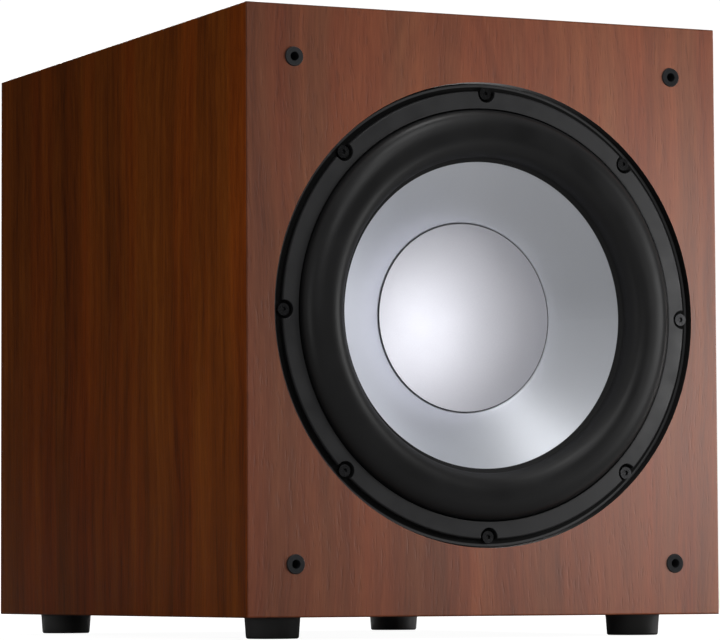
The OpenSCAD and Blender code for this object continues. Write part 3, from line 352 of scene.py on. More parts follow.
def plastic(name, color, roughness=0.4, grain=2600.0, depth=0.03, specular=0.35):
    """Moulded plastic with a spark-eroded texture and slightly polished wear."""
    s = Shader(name, color, roughness, specular_ior_level=specular)
    rub = s.noise(scale=60.0, detail=4.0)
    s.set("Base Color", s.mix(rub, color, tuple(1.25 * c + 0.002 for c in color)))
    s.set("Roughness", s.span(rub, 0.35, 0.65, roughness - 0.06, roughness + 0.07))
    s.bump(s.noise(scale=grain, detail=3.0), depth * MM)
    return s.material


def flange_lacquer_with_painted_shadow(name):
    """Black lacquer, worn to grey along the outer edge. Beside the trim ring it is dull and near black:
    painted shadow of the ring.
    """
    s = Shader(name, roughness=0.5, specular_ior_level=0.3)
    rub = s.noise(scale=60.0, detail=4.0)
    # edge is 0 beside the trim ring, where the near-black colour is painted shadow of the ring, and 1 on the
    # grey rim
    edge = s.span(s.radius(), flange_hi.x - PAINTED_SHADOW_FULL, flange_hi.x - PAINTED_SHADOW_GONE)
    worn = s.mix(rub, (0.046, 0.046, 0.047), (0.058, 0.058, 0.060))
    s.set("Base Color", s.mix(edge, (0.001, 0.001, 0.001), worn))
    s.set("Roughness", s.math("ADD", s.span(edge, 0.0, 1.0, 0.85, 0.36), s.math("MULTIPLY", rub, 0.08)))
    s.bump(s.noise(scale=1400.0, detail=3.0), 0.02 * MM)
    return s.material


def powder_coat(name, color=(0.012, 0.012, 0.013), roughness=0.38):
    """Powder coat: an orange-peel skin with a little dust in the hollows."""
    s = Shader(name, color, roughness, specular_ior_level=0.3)
    peel = s.noise(scale=950.0, detail=2.0)
    cloud = s.noise(scale=35.0, detail=4.0)
    s.set("Base Color", s.mix(cloud, color, tuple(1.6 * c for c in color)))
    s.set("Roughness", s.span(cloud, 0.3, 0.7, roughness - 0.05, roughness + 0.07))
    s.bump(peel, 0.04 * MM)
    return s.material


def plated(name, color=(0.62, 0.62, 0.61), roughness=0.28, brush=(1.0, 1.0, 1.0)):
    """Bare or plated metal with fine machining lines and tarnish."""
    s = Shader(name, color, roughness, 1.0)
    x, y, z = s.split()
    stretched = [s.math("MULTIPLY", place, factor) for place, factor in zip((x, y, z), brush)]
    lines = s.noise(s.join(*stretched), scale=1800.0, detail=3.0)
    tarnish = s.noise(scale=90.0, detail=4.0)
    s.set("Base Color", s.mix(s.span(tarnish, 0.45, 0.75), color, tuple(0.6 * c for c in color)))
    s.set("Roughness", s.span(lines, 0.3, 0.7, roughness - 0.08, roughness + 0.12))
    s.bump(lines, 0.01 * MM)
    return s.material


def spun_metal(name, color, roughness, metallic, rings, sparkle):
    """Satin silver, turned on a lathe: a fine metallic grain, and concentric lines unless rings is 0."""
    s = Shader(name, color, roughness, metallic)
    turned = s.noise(s.join(s.math("MULTIPLY", s.radius(), rings), 0.0, 0.0), detail=3.0)
    grain = s.noise(scale=sparkle, detail=2.0)
    mottle = s.noise(scale=30.0, detail=3.0)
    tone = s.math("ADD", s.math("MULTIPLY", grain, 0.6), s.math("MULTIPLY", turned, 0.4))
    s.set("Base Color", s.mix(s.span(tone, 0.3, 0.7), tuple(0.93 * c for c in color), color))
    s.set("Roughness", s.span(mottle, 0.3, 0.7, roughness - 0.02, roughness + 0.03))
    s.bump(s.math("ADD", s.math("MULTIPLY", turned, 0.5), grain), 0.008 * MM)
    return s.material


def circuit_board(name):
    """Green solder mask with tracks, pads and the weave of the glass below."""
    s = Shader(name, roughness=0.3)
    x, _, z = s.split()
    slanted = s.math("PINGPONG", s.math("ADD", x, z), 4 * MM)
    straight = s.math("PINGPONG", x, 6 * MM)
    track = s.math("LESS_THAN", s.math("MINIMUM", slanted, straight), 0.7 * MM)
    weave = s.noise(scale=1100.0)
    mask = s.mix(weave, (0.008, 0.075, 0.032), (0.014, 0.11, 0.05))
    mask = s.mix(track, mask, (0.03, 0.20, 0.08))
    pad = s.math("LESS_THAN", s.cells(210.0), 0.16)
    s.set("Base Color", s.mix(pad, mask, (0.55, 0.55, 0.52)))
    s.set("Metallic", s.math("MULTIPLY", pad, 0.9))
    s.bump(s.math("ADD", track, pad), 0.05 * MM)
    return s.material


def woven(name, light, dark, pitch, bump_depth, roughness=0.85):
    """Plain weave across the driver's face, as on resin-dipped cloth."""
    s = Shader(name, roughness=roughness, sheen_weight=0.15)
    x, _, z = s.split()
    warp = s.math("SINE", s.math("MULTIPLY", x, 2 * math.pi / pitch))
    weft = s.math("SINE", s.math("MULTIPLY", z, 2 * math.pi / pitch))
    over = s.span(s.math("MULTIPLY", warp, weft), -1.0, 1.0)
    fibre = s.noise(scale=2200.0, detail=3.0)
    tone = s.math("ADD", s.math("MULTIPLY", over, 0.6), s.math("MULTIPLY", fibre, 0.4))
    s.set("Base Color", s.mix(tone, dark, light))
    s.bump(tone, bump_depth)
    return s.material


def felt(name, light, dark):
    """Loose fibre: soft clumps with fine threads over them."""
    s = Shader(name, roughness=0.95, sheen_weight=0.4)
    clump = s.noise(scale=60.0, detail=5.0, roughness=0.7)
    thread = s.noise(scale=700.0, detail=6.0, roughness=0.8)
    s.set("Base Color", s.mix(s.math("MULTIPLY", clump, thread), dark, light))
    s.bump(s.math("ADD", clump, thread), 0.8 * MM)
    return s.material


def winding(name, centre, color=(0.70, 0.27, 0.10)):
    """Enamelled copper wire wound through a ring, so its turns fan out from the ring's axis."""
    s = Shader(name, color, 0.25, 0.9, coat_weight=0.6, coat_roughness=0.15)
    x, _, z = s.split()
    angle = s.math("ARCTAN2", s.math("SUBTRACT", z, centre[1]), s.math("SUBTRACT", x, centre[0]))
    turns = s.math("SINE", s.math("MULTIPLY", angle, WINDING_TURNS))
    blur = s.noise(scale=160.0, detail=3.0)
    tone = s.math("ADD", s.span(turns, -1.0, 1.0, 0.0, 0.7), s.math("MULTIPLY", blur, 0.3))
    s.set("Base Color", s.mix(tone, tuple(0.3 * c for c in color), color))
    s.bump(turns, 0.25 * MM)
    return s.material


def layers(name, color, axis, pitch, metallic=1.0, roughness=0.3):
    """Wire laid side by side along an axis, as on a voice coil or a braided lead."""
    s = Shader(name, color, roughness, metallic)
    turns = s.math("SINE", s.math("MULTIPLY", s.split()[axis], 2 * math.pi / pitch))
    s.set("Base Color", s.mix(s.span(turns, -1.0, 1.0), tuple(0.35 * c for c in color), color))
    s.bump(turns, 0.3 * pitch)
    return s.material


def sintered(name):
    """Ferrite: a dull, slightly speckled grey ceramic with small chips."""
    s = Shader(name, roughness=0.6)
    speck = s.noise(scale=420.0, detail=6.0, roughness=0.8)
    s.set("Base Color", s.mix(speck, (0.022, 0.022, 0.024), (0.085, 0.085, 0.088)))
    s.bump(s.math("ADD", speck, s.math("MULTIPLY", s.cells(140.0), 0.5)), 0.15 * MM)
    return s.material


def clear_fuse(name, middle):
    """A glass tube whose two ends are covered by plated caps."""
    s = Shader(name, (0.9, 0.93, 0.95), 0.08)
    off = s.math("ABSOLUTE", s.math("SUBTRACT", s.split()[X], middle))
    cap = s.math("GREATER_THAN", off, FUSE_GLASS_HALF)
    smudge = s.noise(scale=300.0)
    glass = s.mix(smudge, (0.86, 0.90, 0.92), (0.7, 0.75, 0.78))
    s.set("Base Color", s.mix(cap, glass, (0.72, 0.70, 0.66)))
    s.set("Metallic", cap)
    s.set("Roughness", s.span(smudge, 0.3, 0.7, 0.1, 0.25))
    return s.material


def lens(name):
    """Tinted moulded plastic with a frosted body."""
    s = Shader(name, (0.10, 0.28, 0.75), 0.18, coat_weight=0.6)
    frost = s.noise(scale=800.0)
    s.set("Base Color", s.mix(frost, (0.08, 0.22, 0.66), (0.18, 0.38, 0.85)))
    s.bump(frost, 0.01 * MM)
    return s.material


def sleeve(name, color=(0.012, 0.016, 0.045)):
    """Shrunk plastic sleeve with a paler stripe down one side of each can."""
    s = Shader(name, color, 0.25, coat_weight=0.4)
    rib = s.noise(scale=240.0, detail=3.0)
    stripe = s.math("GREATER_THAN", s.split()[Z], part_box("filter_capacitors")[1].z - CAN_STRIPE)
    film = s.mix(rib, color, tuple(1.8 * c for c in color))
    s.set("Base Color", s.mix(stripe, film, (0.35, 0.37, 0.42)))
    s.bump(rib, 0.03 * MM)
    return s.material


def glue(name):
    """Dark glue with a slightly beaded surface."""
    s = Shader(name, roughness=0.35)
    bead = s.noise(scale=500.0, detail=3.0)
    s.set("Base Color", s.mix(bead, (0.04, 0.04, 0.043), (0.09, 0.09, 0.095)))
    s.bump(bead, 0.05 * MM)
    return s.material


def ink(name, color=(0.62, 0.62, 0.60)):
    """Screen-printed marks, a little worn."""
    s = Shader(name, color, 0.5)
    wear = s.noise(scale=900.0, detail=4.0)
    s.set("Base Color", s.mix(s.span(wear, 0.4, 0.7), color, tuple(0.75 * c for c in color)))
    return s.material


def fibreboard(name):
    """Bare medium-density fibreboard: fine, dusty chips."""
    s = Shader(name, roughness=0.8)
    chips = s.noise(scale=700.0, detail=5.0, roughness=0.7)
    s.set("Base Color", s.mix(chips, tuple(0.6 * c for c in FIBREBOARD), tuple(1.1 * c for c in FIBREBOARD)))
    s.bump(chips, 0.15 * MM)
    return s.material


toroid_lo, toroid_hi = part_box("transformer")
fuse_lo, fuse_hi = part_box("fuse")

foam = rubber("closed-cell foam", (0.015, 0.015, 0.016), 0.8, 900.0)
black_plastic = plastic("black plastic", (0.014, 0.014, 0.015), 0.4)
trim_plastic = plastic("charcoal trim", (0.018, 0.018, 0.019), 0.42, 3200.0, 0.015, 0.28)
gloss_white = plastic("jack insulator", (0.78, 0.78, 0.75), 0.25, 900.0, 0.01)
black_metal = powder_coat("black powder coat")
black_screw = plated("black oxide", (0.05, 0.05, 0.052), 0.22)
zinc = plated("zinc plate")
pale_zinc = plated("nickel plate", (0.72, 0.71, 0.68), 0.2)
gold = plated("gold plate", (0.85, 0.60, 0.25), 0.22)
turned_steel = plated("turned steel", (0.45, 0.45, 0.46), 0.32, (1.0, 0.15, 1.0))
silver_cone = spun_metal("spun silver cone", (0.76, 0.785, 0.84), 0.38, 0.95, 5200.0, 5200.0)
silver_cap = spun_metal("silver dust cap", (0.36, 0.36, 0.39), 0.66, 0.8, 0.0, 1500.0)
board_material = circuit_board("circuit board")

MATERIALS = {
    "left_panel": veneer("veneer left", Y, Z, 2.3, SIDE_TONES, gloss=0.03),
    "right_panel": veneer("veneer right", Y, Z, 9.1, SIDE_TONES, gloss=0.03),
    "top_panel": veneer("veneer top", Y, X, 5.4, SIDE_TONES),
    "bottom_panel": veneer("veneer bottom", Y, X, 6.8, SIDE_TONES),
    "front_baffle": veneer(
        "veneer front", X, Z, 13.7, FRONT_TONES, rebate=True, cathedral=(-0.035, 0.30, 0.09), bloom=0.12
    ),
    "rear_panel": veneer("veneer rear", X, Z, 21.2, FRONT_TONES),
    "grille_sockets": rubber("socket rubber", (0.020, 0.021, 0.023), 0.42, specular=0.4),
    "feet": rubber("foot rubber", (0.060, 0.059, 0.059), 0.42, specular=0.5),
    "driver_seal": foam,
    "amp_gasket": foam,
    "driver_flange": flange_lacquer_with_painted_shadow("flange lacquer with painted shadow"),
    "driver_basket": black_metal,
    "driver_gasket": trim_plastic,
    "driver_screws": black_screw,
    "amp_screws": black_screw,
    "cone": silver_cone,
    "dust_cap": silver_cap,
    "voice_coil_former": plated("coil former", (0.70, 0.68, 0.62), 0.3, (1.0, 0.2, 1.0)),
    "voice_coil": layers("coil wire", (0.72, 0.28, 0.10), Y, 0.5 * MM),
    "magnet_top_plate": turned_steel,
    "t_yoke": turned_steel,
    "magnet_ring": sintered("ferrite"),
    "driver_terminals": trim_plastic,
    "foot_screws": zinc,
    "port_tube": plastic("port plastic", (0.012, 0.012, 0.013), 0.45, 1900.0, 0.04),
    "amp_plate": black_metal,
    "heatsink": plated("black anodised fins", (0.022, 0.022, 0.024), 0.35, (1.0, 1.0, 0.05)),
    "power_transistors": black_plastic,
    "main_board": board_material,
    "control_board": board_material,
    "board_standoffs": zinc,
    "filter_capacitors": sleeve("capacitor sleeve"),
    "transformer": winding(
        "copper winding", ((toroid_lo.x + toroid_hi.x) / 2, (toroid_lo.z + toroid_hi.z) / 2)
    ),
    "transformer_cap": zinc,
    "transformer_bolt": zinc,
    "level_knob": black_plastic,
    "crossover_knob": black_plastic,
    "level_shaft": zinc,
    "crossover_shaft": zinc,
    "level_pot": pale_zinc,
    "crossover_pot": pale_zinc,
    "phase_switch_body": trim_plastic,
    "mode_switch_body": trim_plastic,
    "phase_switch_lever": black_plastic,
    "mode_switch_lever": black_plastic,
    "rca_jacks": gold,
    "rca_insulators": gloss_white,
    "mains_inlet": black_plastic,
    "inlet_pins": pale_zinc,
    "fuse_drawer": trim_plastic,
    "fuse": clear_fuse("fuse glass", (fuse_lo.x + fuse_hi.x) / 2),
    "rocker_housing": black_plastic,
    "power_rocker": plastic("rocker", (0.02, 0.02, 0.021), 0.28, 900.0, 0.008),
    "indicator_led": lens("tinted lens"),
    "window_brace": fibreboard("fibreboard"),
}

for name, material in MATERIALS.items():
    mesh = nodes[name].data
    mesh.materials.clear()
    mesh.materials.append(material)


# ---- Edge rounding on the CAD nodes that the eye comes close to ----

# Width of each bevel in millimetres
ROUNDED = {
    "driver_gasket": 0.35, "driver_screws": 0.35, "driver_flange": 0.3, "grille_sockets": 0.3, "feet": 0.4,
    "amp_plate": 0.3, "heatsink": 0.25, "level_knob": 0.4, "crossover_knob": 0.4, "mains_inlet": 0.3,
    "fuse_drawer": 0.3, "power_rocker": 0.3, "rocker_housing": 0.3, "phase_switch_lever": 0.3,
    "mode_switch_lever": 0.3, "port_tube": 0.4, "amp_screws": 0.2, "rca_jacks": 0.2, "transformer_bolt": 0.3,
    "inlet_pins": 0.25,
}
SHARP = math.radians(28)
SEAM = 0.002 * MM


def weld_seams(obj):
    """Joins points that coincide, so that faces share their edges."""
    weld = obj.modifiers.new("weld", "WELD")
    weld.merge_threshold = SEAM


def round_edges(name, width):
    """Bevels a node's sharp edges. Its mesh stays as packed: this is all modifiers."""
    obj = nodes[name]
    weld_seams(obj)
    bevel = obj.modifiers.new("bevel", "BEVEL")
    bevel.width = width * MM
    bevel.segments = 2
    bevel.limit_method = "ANGLE"
    bevel.angle_limit = SHARP
    bevel.harden_normals = False


def even_normals(name):
    """Works out a turned shell's shading again from its faces, so that its pole doesn't show."""
    obj = nodes[name]
    weld_seams(obj)
    even = obj.modifiers.new("even normals", "WEIGHTED_NORMAL")
    even.keep_sharp = True


for name, width in ROUNDED.items():
    round_edges(name, width)
even_normals("dust_cap")


# ---- Mesh helpers ----


def add_mesh(name, points, faces, material, body=None, smooth=True):
    """A new piece from points and faces. With body, it rides on that body."""
    mesh = bpy.data.meshes.new(name)
    mesh.from_pydata([tuple(p) for p in points], [], faces)
    mesh.polygons.foreach_set("use_smooth", [smooth] * len(mesh.polygons))
    mesh.materials.append(material)
    mesh.update()
    obj = bpy.data.objects.new(name, mesh)
    bpy.context.scene.collection.objects.link(obj)
    if body:
        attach(obj, body)
    return obj


def on_axis(r, angle, depth):
    """A point beside the driver's axis, at a depth behind the front face."""
    return Vector((r * math.cos(angle), front_y + depth, driver_z + r * math.sin(angle)))


def radial(p):
    """Distance of a point from the driver's axis, in millimetres."""
    return math.hypot(p.x, p.z - driver_z) / MM


def revolve(name, outline, material, steps=256, **options):
    """A closed outline of (radius, depth) points in millimetres, turned round the driver's axis."""
    points = [
        on_axis(r * MM, 2 * math.pi * k / steps, depth * MM)
        for k in range(steps) for r, depth in outline
    ]
    n = len(outline)
    faces = [
        (k * n + i, k * n + (i + 1) % n, (k + 1) % steps * n + (i + 1) % n, (k + 1) % steps * n + i)
        for k in range(steps) for i in range(n)
    ]
    return add_mesh(name, points, faces, material, **options)


def face_outward(obj):
    """Turns every face of a closed piece outward."""
    shape = bmesh.new()
    shape.from_mesh(obj.data)
    bmesh.ops.recalc_face_normals(shape, faces=shape.faces)
    shape.to_mesh(obj.data)
    shape.free()


def thick_outline(middle, thickness):
    """A closed outline round an open line of (radius, depth) points, half the thickness to each side."""
    line = np.array(middle, float)
    along = np.gradient(line, axis=0)
    along /= np.linalg.norm(along, axis=1)[:, None]
    side = np.stack([-along[:, 1], along[:, 0]], axis=1) * thickness / 2
    return [tuple(p) for p in line + side] + [tuple(p) for p in (line - side)[::-1]]


def flex_between(obj, weight):
    """Blends a piece from the cabinet to the cone. weight(point) is 0 on the cabinet and 1 on the cone."""
    # The even blend along the axis is only a start: each point then gets its own weight
    axis_start = on_axis(0, 0, 0)
    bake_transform(obj, "cabinet", "cone_assembly", start=axis_start, end=axis_start + Vector((0, 0.01, 0)))
    held = obj.data.attributes["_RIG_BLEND"].data
    held.foreach_set("value", [weight(v.co) for v in obj.data.vertices])


def ease(t):
    """0 to 1 with a level start and end, held outside."""
    t = min(max(t, 0.0), 1.0)
    return t * t * (3 - 2 * t)


def tube(name, path, radius, material, sides=14, **options):
    """A round tube along a list of points, with flat ends."""
    points, faces = [], []
    # A direction that no tube here runs along
    reference = Vector((1.0, 0.21, 0.13))
    for i, place in enumerate(path):
        heading = (path[min(i + 1, len(path) - 1)] - path[max(i - 1, 0)]).normalized()
        side = heading.cross(reference).normalized()
        other = heading.cross(side)
        for k in range(sides):
            angle = 2 * math.pi * k / sides
            points.append(place + radius * (math.cos(angle) * side + math.sin(angle) * other))
    for i in range(len(path) - 1):
        for k in range(sides):
            a, b = i * sides + k, i * sides + (k + 1) % sides
            faces.append((a, b, b + sides, a + sides))
    last = (len(path) - 1) * sides
    faces.append(tuple(range(sides))[::-1])
    faces.append(tuple(last + k for k in range(sides)))
    obj = add_mesh(name, points, faces, material, **options)
    face_outward(obj)
    return obj


def smooth_path(route, steps=8):
    """Points along a Catmull-Rom curve through a given route."""
    ends = [route[0] * 2 - route[1], *route, route[-1] * 2 - route[-2]]
    path = []
    for a, b, c, d in zip(ends, ends[1:], ends[2:], ends[3:]):
        for k in range(steps):
            t = k / steps
            square = 2 * a - 5 * b + 4 * c - d
            cube = 3 * b - a - 3 * c + d
            path.append(0.5 * (2 * b + (c - a) * t + square * t * t + cube * t ** 3))
    path.append(route[-1])
    return path


def box_faces(first):
    """Faces of a box whose eight points are two rings of four, counted from first."""
    ends = [(first, first + 1, first + 2, first + 3), (first + 4, first + 7, first + 6, first + 5)]
    walls = [
        (first + k, first + 4 + k, first + 4 + (k + 1) % 4, first + (k + 1) % 4) for k in range(4)
    ]
    return ends + walls


# ---- Surround and spider: radii, and depths behind the front face, in millimetres ----

ROLL_OUT, ROLL_IN, ROLL_HEIGHT = 140.5, 108.0, 13.0
ROLL_FOOT = 4.5
ROLL_POWER = 2.6
ROLL_STEPS = 64
SURROUND_T = 1.5
SURROUND_LANDING = [(142.6, 4.5), (141.6, 4.5), (140.6, 4.4)]
SURROUND_LIP = [(108.6, 5.4), (107.6, 6.3), (106.2, 6.75), (105.0, 6.9)]
# The surround is duller inside this radius
DULL_INSIDE = 114 * MM


def surround():
    """A half roll of rubber. It flows from the landing on the flange into the edge of the cone."""
    half = (ROLL_OUT - ROLL_IN) / 2
    middle = ROLL_IN + half
    inset = SURROUND_T / 2
    line = list(SURROUND_LANDING)
    for i in range(1, ROLL_STEPS):
        a = math.pi * i / ROLL_STEPS
        across = math.copysign(abs(math.cos(a)) ** (2 / ROLL_POWER), math.cos(a))
        up = math.sin(a) ** (2 / ROLL_POWER)
        line.append((middle + (half - inset) * across, ROLL_FOOT - (ROLL_HEIGHT - inset) * up))
    line += SURROUND_LIP
    skin = rubber("surround rubber", (0.0060, 0.0060, 0.0063), 0.33, 900.0, 0.32, DULL_INSIDE)
    piece = revolve("rubber_surround", thick_outline(line, SURROUND_T), skin, steps=360)
    face_outward(piece)
    flex_between(piece, lambda p: ease((ROLL_OUT - radial(p)) / (ROLL_OUT - ROLL_IN)))
    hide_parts("surround")


surround()

SPIDER_OUT, SPIDER_IN = 78.0, 42.0
SPIDER_DEPTH, SPIDER_WAVE, SPIDER_ROLLS = 67.6, 2.2, 5
SPIDER_COLLAR = [(38.1, SPIDER_DEPTH - 1.5), (38.3, SPIDER_DEPTH - 0.2), (39.2, SPIDER_DEPTH)]
SPIDER_EDGE = (86.8, SPIDER_DEPTH)
SPIDER_T = 0.7
SPIDER_ROLL_STEPS = 12


def spider():
    """A corrugated disc of dipped cloth, glued to its shelf and to the former."""
    steps = SPIDER_ROLLS * SPIDER_ROLL_STEPS
    span = SPIDER_OUT - SPIDER_IN
    line = list(SPIDER_COLLAR)
    for i in range(steps + 1):
        wave = SPIDER_WAVE * math.sin(2 * math.pi * SPIDER_ROLLS * i / steps)
        line.append((SPIDER_IN + span * i / steps, SPIDER_DEPTH + wave))
    line.append(SPIDER_EDGE)
    cloth = woven("spider cloth", (0.62, 0.50, 0.28), (0.36, 0.26, 0.12), 1.1 * MM, 0.12 * MM)
    piece = revolve("cloth_spider", thick_outline(line, SPIDER_T), cloth, steps=180)
    face_outward(piece)
    flex_between(piece, lambda p: 1 - ease((radial(p) - SPIDER_IN) / span))
    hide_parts("spider")


spider()


# ---- Leads and wires ----

SIDES = ((-1, "left"), (1, "right"))
# Distance below the driver's axis and depth behind the front face, in millimetres
LEAD_ROUTE = ((117, 42.4), (109, 42.6), (101, 47), (92, 53), (80, 53), (70, 45), (64, 39.6))
# From the middle to each lead, in millimetres
LEAD_OFF = 13.0
LEAD_R = 0.85 * MM
# Place across, depth behind the front face and height, in millimetres
WIRE_ROUTE = (
    (-64, 450, 200), (-64, 436, 199), (-64, 420, 188), (-66, 404, 150),
    (-68, 380, 104), (-66, 350, 66), (-60, 310, 40), (-56, 262, 36),
    (-54, 232, 50), (-54, 218, 72), (-54, 180, 72), (-50, 164, 50),
    (-42, 144, 36), (-30, 118, 36), (-16, 92, 52), (-6, 74, 80),
)
# Depth and height of the last points, at the driver's tags
WIRE_END = ((60, 96), (51, 96))
# From one wire's middle to the other's, in millimetres
WIRE_GAP = 5.0
WIRE_R = 1.3 * MM


def tinsel_leads():
    """Braided copper leads from the tags to the cone, in one loose bend each."""
    braid = layers("copper braid", (0.75, 0.36, 0.16), Z, 1.2 * MM, 0.9, 0.4)
    for side, word in SIDES:
        route = [
            Vector((side * LEAD_OFF * MM, front_y + d * MM, driver_z - r * MM)) for r, d in LEAD_ROUTE
        ]
        piece = tube(f"tinsel_lead_{word}", smooth_path(route), LEAD_R, braid)
        high, low = route[-1].z, route[0].z
        flex_between(piece, lambda p: ease((p.z - low) / (high - low)))
        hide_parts("tinsel_leads")


def speaker_wires():
    """A red and a black wire from the amplifier to the driver's tags."""
    black = rubber("black jacket", (0.012, 0.012, 0.013), 0.35)
    red = rubber("red jacket", (0.30, 0.015, 0.012), 0.35)
    for (side, word), jacket in zip(SIDES, (black, red)):
        route = [Vector((x + side * WIRE_GAP / 2, d, z)) for x, d, z in WIRE_ROUTE]
        route += [Vector((side * LEAD_OFF, d, z)) for d, z in WIRE_END]
        route = [Vector((p.x * MM, front_y + p.y * MM, p.z * MM)) for p in route]
        piece = tube(f"speaker_wire_{word}", smooth_path(route, 5), WIRE_R, jacket, body="cabinet")
        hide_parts("speaker_wires")


tinsel_leads()
speaker_wires()


# ---- Wadding ----

PAD_T = 22 * MM
PAD_DROP = 48 * MM
PAD_TOP_INSET = 26 * MM
PAD_TOP_LENGTH = 70 * MM
PAD_CUTS = 21
# Shares of a pad's thickness: left at its rim, added by the crown and added by lumps
PAD_RIM, PAD_CROWN, PAD_FUZZ = 0.55, 0.33, 0.05
# How closely each layer of lumps lies, in radians a metre
PAD_LUMPS = (70, 130, 240)
# How abruptly a pad thins out at its rim
RIM_POWER = 8


def pillow(name, low, high, seed):
    """A felted pad: a subdivided slab with drawn-in edges and a lumpy face."""
    shape = bmesh.new()
    bmesh.ops.create_cube(shape, size=1.0)
    size = high - low
    centre = (high + low) / 2
    bmesh.ops.transform(shape, matrix=Matrix.Diagonal((*size, 1.0)), verts=shape.verts)
    bmesh.ops.subdivide_edges(shape, edges=shape.edges, cuts=PAD_CUTS, use_grid_fill=True)
    thin = min(range(3), key=lambda a: size[a])
    wide = [a for a in range(3) if a != thin]
    for v in shape.verts:
        rim = 1.0
        for a in wide:
            rim *= 1 - abs(2 * v.co[a] / size[a]) ** RIM_POWER
        lump = sum(
            math.sin(v.co[wide[0]] * f + seed * k) * math.cos(v.co[wide[1]] * f * 1.3 - seed * k) / k
            for k, f in enumerate(PAD_LUMPS, start=1)
        )
        v.co[thin] *= PAD_RIM + PAD_CROWN * rim + PAD_FUZZ * lump * rim
    mesh = bpy.data.meshes.new(name)
    bmesh.ops.translate(shape, vec=centre, verts=shape.verts)
    shape.to_mesh(mesh)
    shape.free()
    mesh.polygons.foreach_set("use_smooth", [True] * len(mesh.polygons))
    obj = bpy.data.objects.new(name, mesh)
    bpy.context.scene.collection.objects.link(obj)
    return obj


def wadding():
    """Three felted pads: one on each side wall and one under the roof."""
    material = felt("wadding felt", (0.80, 0.79, 0.75), (0.42, 0.41, 0.38))
    low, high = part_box("damping_wadding")
    left_hi = Vector((low.x + PAD_T, high.y, high.z - PAD_DROP))
    right_lo = Vector((high.x - PAD_T, low.y, low.z))
    right_hi = Vector((high.x, high.y, high.z - PAD_DROP))
    top_lo = Vector((low.x + PAD_TOP_INSET, low.y, high.z - PAD_T))
    top_hi = Vector((high.x - PAD_TOP_INSET, low.y + PAD_TOP_LENGTH, high.z))
    pads = (
        ("wadding_left", low, left_hi),
        ("wadding_right", right_lo, right_hi),
        ("wadding_top", top_lo, top_hi),
    )
    for seed, (name, lo, hi) in enumerate(pads, start=1):
        pad = pillow(name, lo, hi, seed)
        pad.data.materials.append(material)
        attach(pad, "cabinet")
        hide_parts("damping_wadding")


wadding()


# ---- Fine detail: sizes in millimetres ----

# The bead of glue: its sides, its half width and half height, and its shift out and back from the cap
BEAD_SIDES = 8
BEAD_W, BEAD_H = 0.20, 0.16
BEAD_OUT, BEAD_BACK = 0.14, -0.03
MARK_COUNT = 11
MARK_R, MARK_W, MARK_T = 12.6, 0.5, 0.06
MARK_LONG, MARK_SHORT = 2.6, 1.6
INLAY_W, INLAY_IN, INLAY_OUT = 1.0, 3.0, 8.4
INLAY_SUNK, INLAY_PROUD = 0.1, 0.08


def cap_joint():
    """The thin line of glue where the dust cap meets the cone."""
    low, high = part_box("dust_cap")
    edge = (high.x - low.x) / 2 / MM
    depth = (high.y - front_y) / MM
    outline = [
        (edge + BEAD_OUT + BEAD_W * math.cos(a), depth + BEAD_BACK + BEAD_H * math.sin(a))
        for a in (2 * math.pi * k / BEAD_SIDES for k in range(BEAD_SIDES))
    ]
    piece = revolve("cap_glue_line", outline, glue("glue line"), body="cone_assembly")
    face_outward(piece)


def scale_marks():
    """Printed ticks round each knob, over the range that it turns. The ends and the middle are longer."""
    white = ink("printed marks")
    for joint in ("level_turn", "crossover_turn"):
        place = Vector(joints[joint]["pos_m"])
        low, high = joints[joint]["range_deg"]
        points, faces = [], []
        for i in range(MARK_COUNT):
            angle = math.radians(low + (high - low) * i / (MARK_COUNT - 1))
            outer = MARK_R + (MARK_LONG if i % (MARK_COUNT // 2) == 0 else MARK_SHORT)
            out = Vector((math.sin(angle), 0, math.cos(angle)))
            across = Vector((math.cos(angle), 0, -math.sin(angle)))
            for level in (0.0, MARK_T):
                for r, side in ((MARK_R, -1), (MARK_R, 1), (outer, 1), (outer, -1)):
                    p = place + (out * r + across * side * MARK_W / 2) * MM
                    points.append(Vector((p.x, plate_outer_y + level * MM, p.z)))
            faces += box_faces(8 * i)
        piece = add_mesh(f"{joint}_marks", points, faces, white, body="cabinet", smooth=False)
        face_outward(piece)


def knob_pointers():
    """A pale inlay along the top of each knob's pointer."""
    white = ink("pointer inlay", (0.75, 0.75, 0.73))
    for knob, body in (("level_knob", "level_control"), ("crossover_knob", "crossover_control")):
        low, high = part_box(knob)
        middle = (low.x + high.x) / 2
        axis_z = (low.z + high.z) / 2
        points = []
        for level in (-INLAY_SUNK, INLAY_PROUD):
            for side, z in ((-1, INLAY_IN), (1, INLAY_IN), (1, INLAY_OUT), (-1, INLAY_OUT)):
                x = side * INLAY_W / 2
                points.append(Vector((middle + x * MM, high.y + level * MM, axis_z + z * MM)))
        piece = add_mesh(f"{knob}_inlay", points, box_faces(0), white, body=body, smooth=False)
        face_outward(piece)


cap_joint()
scale_marks()
knob_pointers()


# ---- Floor, backdrop and light ----

# Distance and size of the usual softbox, in metres
FAR, PANEL = 2.4, 0.8
FLOOR_R, DOME_R = 20.0, 19.0
FLOOR_GREY, FLOOR_GLOW = 0.10, 0.97
BOUNCE_GREY = 0.36
BOUNCE_DROP = 0.5 * MM
DOME_GLOW = 1.05
AIR_STRENGTH = 0.36
# Each flag: its direction, the cosines where it starts and is full, and the light left in it
DARK_FLAGS = (
    ((-0.42, 0.90, 0.07), 0.66, 0.92, 0.06),
    ((0.42, -0.90, 0.07), 0.74, 0.97, 0.10),
)


